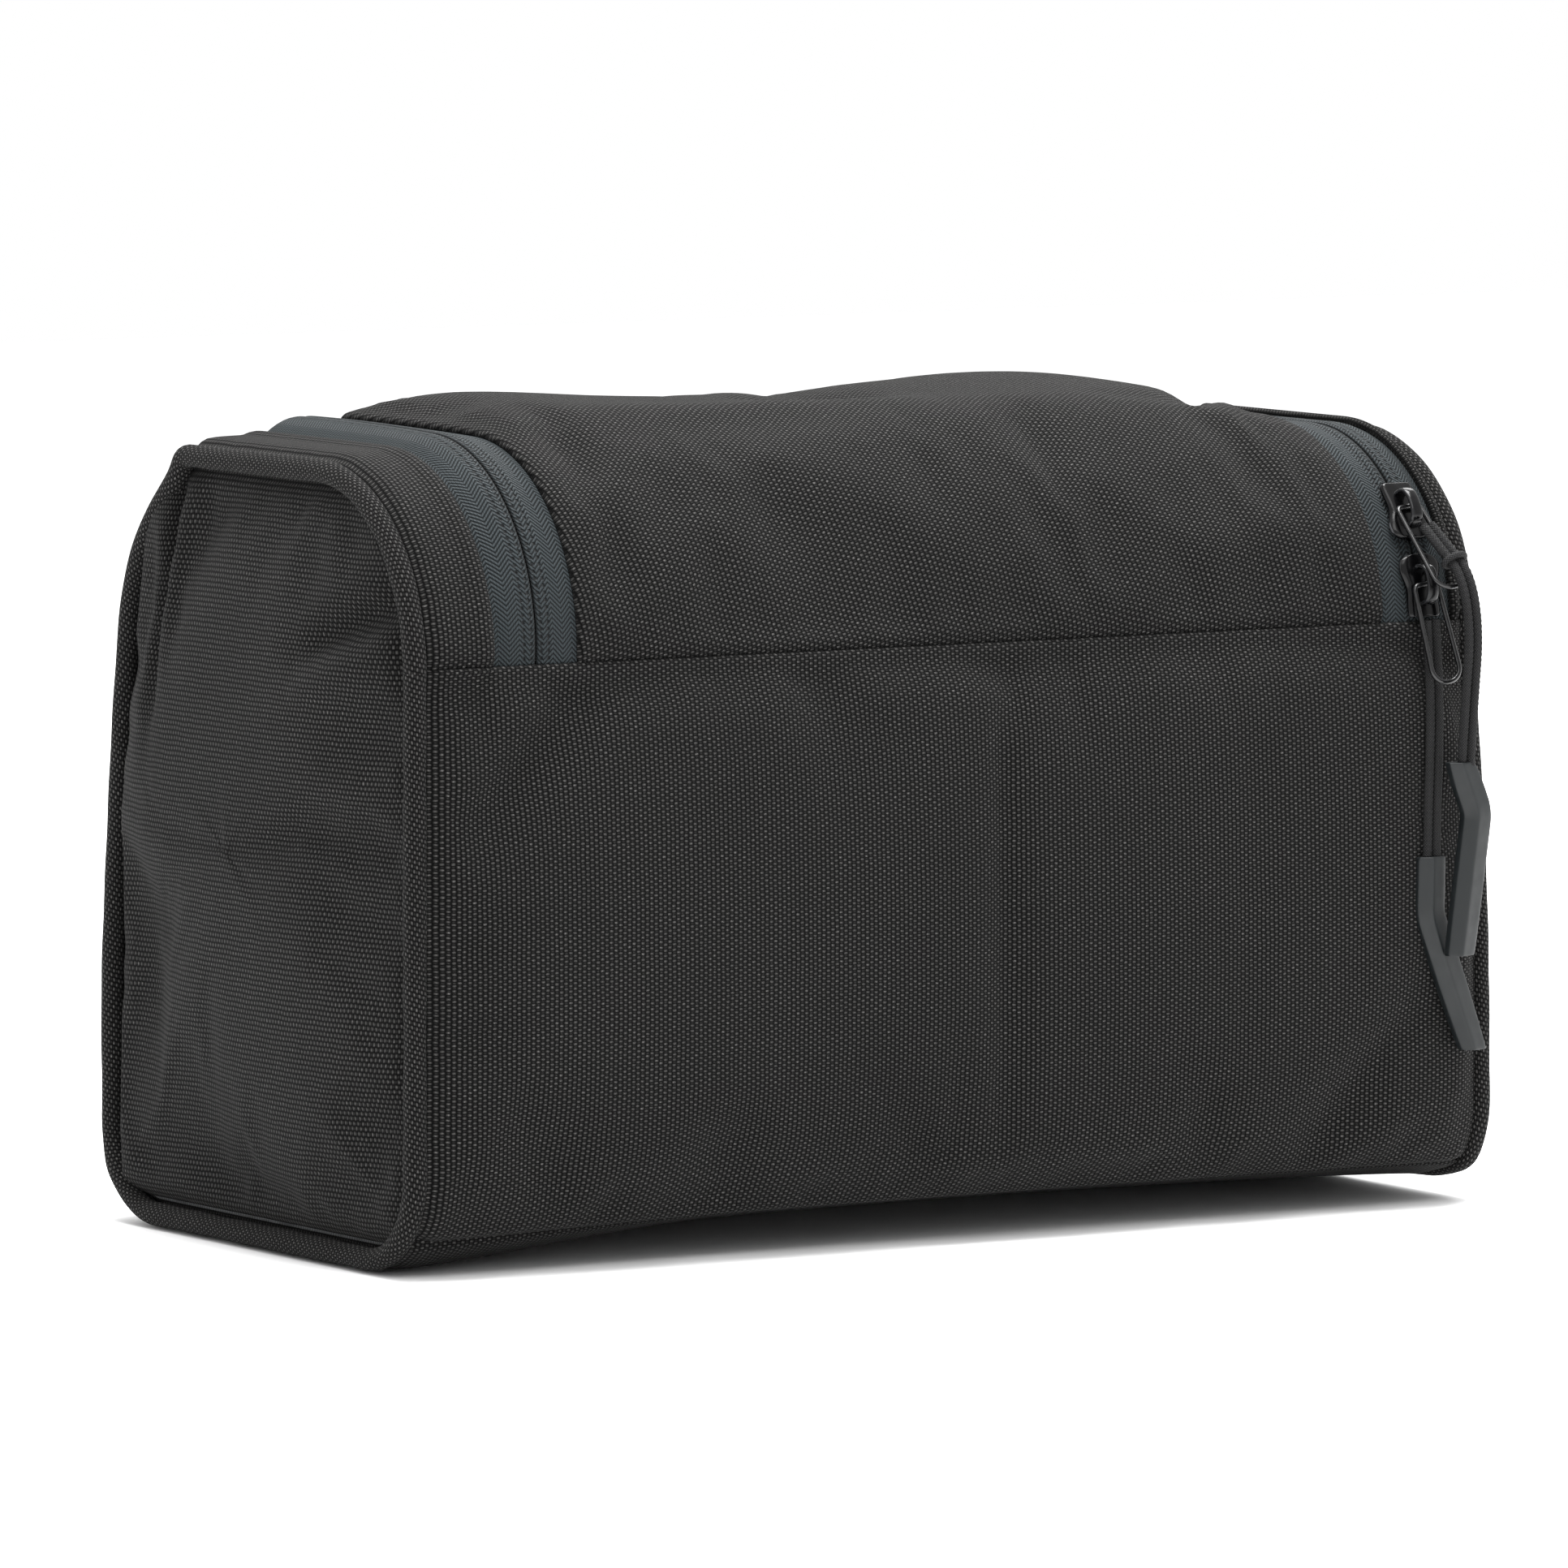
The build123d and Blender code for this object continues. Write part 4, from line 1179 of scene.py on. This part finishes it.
# --- Ends and their pipings ---
END_RINGS = np.concatenate([[0, 0.008, 0.02, 0.036, 0.055], np.linspace(0.08, 0.97, 34)])
END_AROUND, PIPING_AROUND = 280, 420
PIPING_LAP_S = S_FOOT + 12  # the ends of a piping lap over each other under the bag
for side_name, side in ENDS.items():
    for layer, (slot, word, _, (lift, thickness)) in LAYERS.items():
        around = circuit(END_AROUND, GIRTH)
        points, uv = end_points(END_RINGS, around, 4.6 if layer == "panel" else 6.0, lift, side, True)
        travel = from_coarse(MOVED[side_name], END_RINGS, around / GIRTH, wrap=True, last=END_SETTLED_TO)
        points = points + travel * smooth(END_RINGS, 0.01, 0.10)[:, None, None]
        faces, count = grid_faces(*points.shape[:2], wrap=True), len(END_RINGS) * END_AROUND
        last = count - END_AROUND
        faces += [(last + k, last + (k + 1) % END_AROUND, count) for k in range(END_AROUND)]
        points, uv = (np.concatenate([v.reshape(count, -1), v[-1].mean(0)[None]]) for v in (points, uv))
        if side > 0:
            faces = [f[::-1] for f in faces]
        piece = mesh_object(f"{side_name}_end_{word}", points, faces, uv)
        outward(piece)
        solidify(piece, thickness)
        finish_piece(piece, "bag", slot, f"{side_name}_end_{layer}")

    around = circuit(PIPING_AROUND, GIRTH)
    y, z, ny, nz = section(around)
    y, z = y - ny * PIPING_IN, z - nz * PIPING_IN
    line = slouch(stacked(side * END_X, y, z))
    line = np.concatenate([line, line[:1]])
    around = np.append(around, GIRTH)
    lap = 0.5 * hump(around, PIPING_LAP_S, 5)
    turn = around * 2 * pi / GIRTH
    wobble = 0.06 * np.sin(9 * turn) + 0.05 * np.sin(31 * turn)
    cover = tube_object(f"{side_name}_piping_cover", line, PIPING_R + lap + wobble, 20, closed=True)
    finish_piece(cover, "bag", "piping_cover", f"{side_name}_piping")
    core = tube_object(f"{side_name}_piping_filler", line, 1.5, 10, closed=True)
    finish_piece(core, "bag", "piping_core", f"{side_name}_piping_core")


# --- Zip: tapes and coils along the zip line ---
def zip_line(offset, step=1.0):
    """x, s and distance along a line that keeps its distance from the zip's middle."""
    r = ZIP_R + offset
    leg = np.arange(0.2, S_TURN, step)
    turn = np.linspace(0, QUARTER, 40)
    run = np.arange(TURN_LEFT, TURN_RIGHT, step)
    x = np.concatenate([
        np.full_like(leg, ZIP_LEFT - offset), TURN_LEFT - r * np.cos(turn), run[1:-1],
        TURN_RIGHT + r * np.sin(turn), np.full_like(leg, ZIP_RIGHT + offset),
    ])
    s = np.concatenate([
        leg, S_TURN + r * np.sin(turn), np.full(len(run) - 2, S_ZIP + offset),
        S_TURN + r * np.cos(turn), leg[::-1],
    ])
    run_start = leg[-1] + ZIP_R * QUARTER
    run_end = run_start + run[-1] - run[0]
    along = np.concatenate([
        leg, leg[-1] + turn * ZIP_R, run_start + run[1:-1] - run[0],
        run_end + turn * ZIP_R, run_end + ZIP_R * QUARTER + step + leg,
    ])
    return x, s, along


def tape_lift(offset):
    """A tape sinks slightly towards both edges and dips at the middle."""
    return -0.25 - 0.35 * smooth(offset, 6.5, 9.5) - 0.3 * hump(offset, 0, 0.7)


TAPE_OFFSETS = np.array((0.15, 0.5, 1.0, 1.6, 2.4, 3.4, 4.6, 6.0, 7.4, 8.6, 9.4, 10.0, 11.0))
TAPE_T, COIL_AT, COIL_DEPTH, COIL_R = 0.8, 1.55, 2.0, 0.95
for name, sign, body in (("lid", -1, "lid"), ("body", 1, "bag")):
    x, s, along = (np.array(rows).T for rows in zip(*(zip_line(sign * offset) for offset in TAPE_OFFSETS)))
    points = skin(x, s, tape_lift(TAPE_OFFSETS)[None])
    uv = stacked(sign * TAPE_OFFSETS[None], along[:, :1])
    sheet_piece(f"zip_tape_{name}_cloth", points, uv, TAPE_T, body, "zip_tape", f"zip_tape_{name}")
    x, s, _ = zip_line(sign * COIL_AT)
    centre = even_points(skin(x, s, -COIL_DEPTH), 0.8)
    turns = tube_object(f"zip_coil_{name}_turns", centre, COIL_R, 10, across=(1, 1, 1))
    finish_piece(turns, body, "zip_coil", f"zip_coil_{name}")

# --- Inside the bag: the hinge seam's bindings, slip pocket, hook and its webbing ---
BINDING_T = 0.4
# Each side of the hinge seam is bound, from the lining round the raw edges: where they are, and the
# binding's way along the lining.
for name, body, kind, edge_s, way, nodes in (
    ("hinge_seam_binding", "bag", "back", 1.0, -1, ["hinge_binding"]),
    ("lid_seam_binding", "lid", "lid", 0.2, 1, []),
):
    profile = [(way * 7.0, -4.2)] + [(way * away, -4.25) for away in (5.5, 4.0, 2.5, 1.0)]
    profile = np.array(profile + [(edge_s, lift) for lift in (-4.2, -3.8, -3.2, -2.6, -2.0, -1.5)])
    x, s = np.meshgrid(np.linspace(-96.5, 107.5, 160), profile[:, 0])
    lift = profile[:, 1][:, None] + np.minimum(wall_lift(x, s, kind), 0)
    uv = stacked(x, run_of(profile)[:, None])
    sheet_piece(name, skin(x, s, lift), uv, BINDING_T, body, "binding", *nodes, centred=True)

LINING_FACE = -4.1  # how far the lining's inner face is under the skin
POCKET_LOW, POCKET_NET, POCKET_BAND, POCKET_HALF = 24.0, 56.0, 8.0, 99.5
POCKET_TOP = POCKET_LOW + POCKET_NET
GATHERS = 14  # how often the elastic draws the pocket's mouth in


def gathered(x, part):
    """The net bags out, and is gathered towards its mouth."""
    return 1.2 + 2.0 * np.sin(pi * part ** 0.8) + 0.7 * part**2 * np.sin(x * pi / POCKET_HALF * GATHERS)


def banded(x, part):
    """The elastic has the same gathers from its lower edge to its upper one."""
    return 1.2 + 0.7 * np.sin(x * pi / POCKET_HALF * GATHERS)


for name, low_z, height, rows, depth_of, slot, node, thickness in (
    ("inner_pocket_net", POCKET_LOW, POCKET_NET, 40, gathered, "pocket_mesh", "inner_pocket_mesh", 0.5),
    ("inner_pocket_band", POCKET_TOP, POCKET_BAND, 9, banded, "elastic", "inner_pocket_elastic", 0.9),
):
    x, part = np.meshgrid(np.linspace(-POCKET_HALF, POCKET_HALF, 260), np.linspace(0, 1, rows))
    s = front_s(low_z + part * height)
    lift = LINING_FACE - 0.35 - depth_of(x, part) * smooth(POCKET_HALF - np.abs(x), 0, 8)
    piece = sheet_piece(name, skin(x, s, lift), stacked(x, s), thickness, "bag", slot, node, centred=True)

# The webbing runs down from the hinge seam, round the hook's bar and back up behind itself.
HOOK_Y, HOOK_Z = REAR_Y + 8.6, 117.0
WEBBING_W, WEBBING_T, WEBBING_R = 20.0, 1.2, 3.3
strap = [(-WEBBING_R, 10.4 - k * 0.8) for k in range(13)]
strap = np.array(strap + [(WEBBING_R * cos(a), WEBBING_R * sin(a)) for a in np.linspace(-pi, pi * 0.94, 44)])
strap_x, up = np.meshgrid(np.linspace(-WEBBING_W / 2, WEBBING_W / 2, 13), strap[:, 1])
points = stacked(strap_x, HOOK_Y + strap[:, :1], HOOK_Z + up)
uv = stacked(strap_x, run_of(strap)[:, None])
sheet_piece("hook_webbing_strap", points, uv, WEBBING_T, "bag", "webbing", "hook_webbing", centred=True)

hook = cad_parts["hanging_hook"]
if not hook.material_slots:
    hook.data.materials.append(MATERIALS["hook_plastic"])
for material_slot in hook.material_slots:
    material_slot.material = MATERIALS["hook_plastic"]
modifier(hook, "BEVEL", width=0.5 * MM, segments=3, limit_method="ANGLE", angle_limit=0.6)
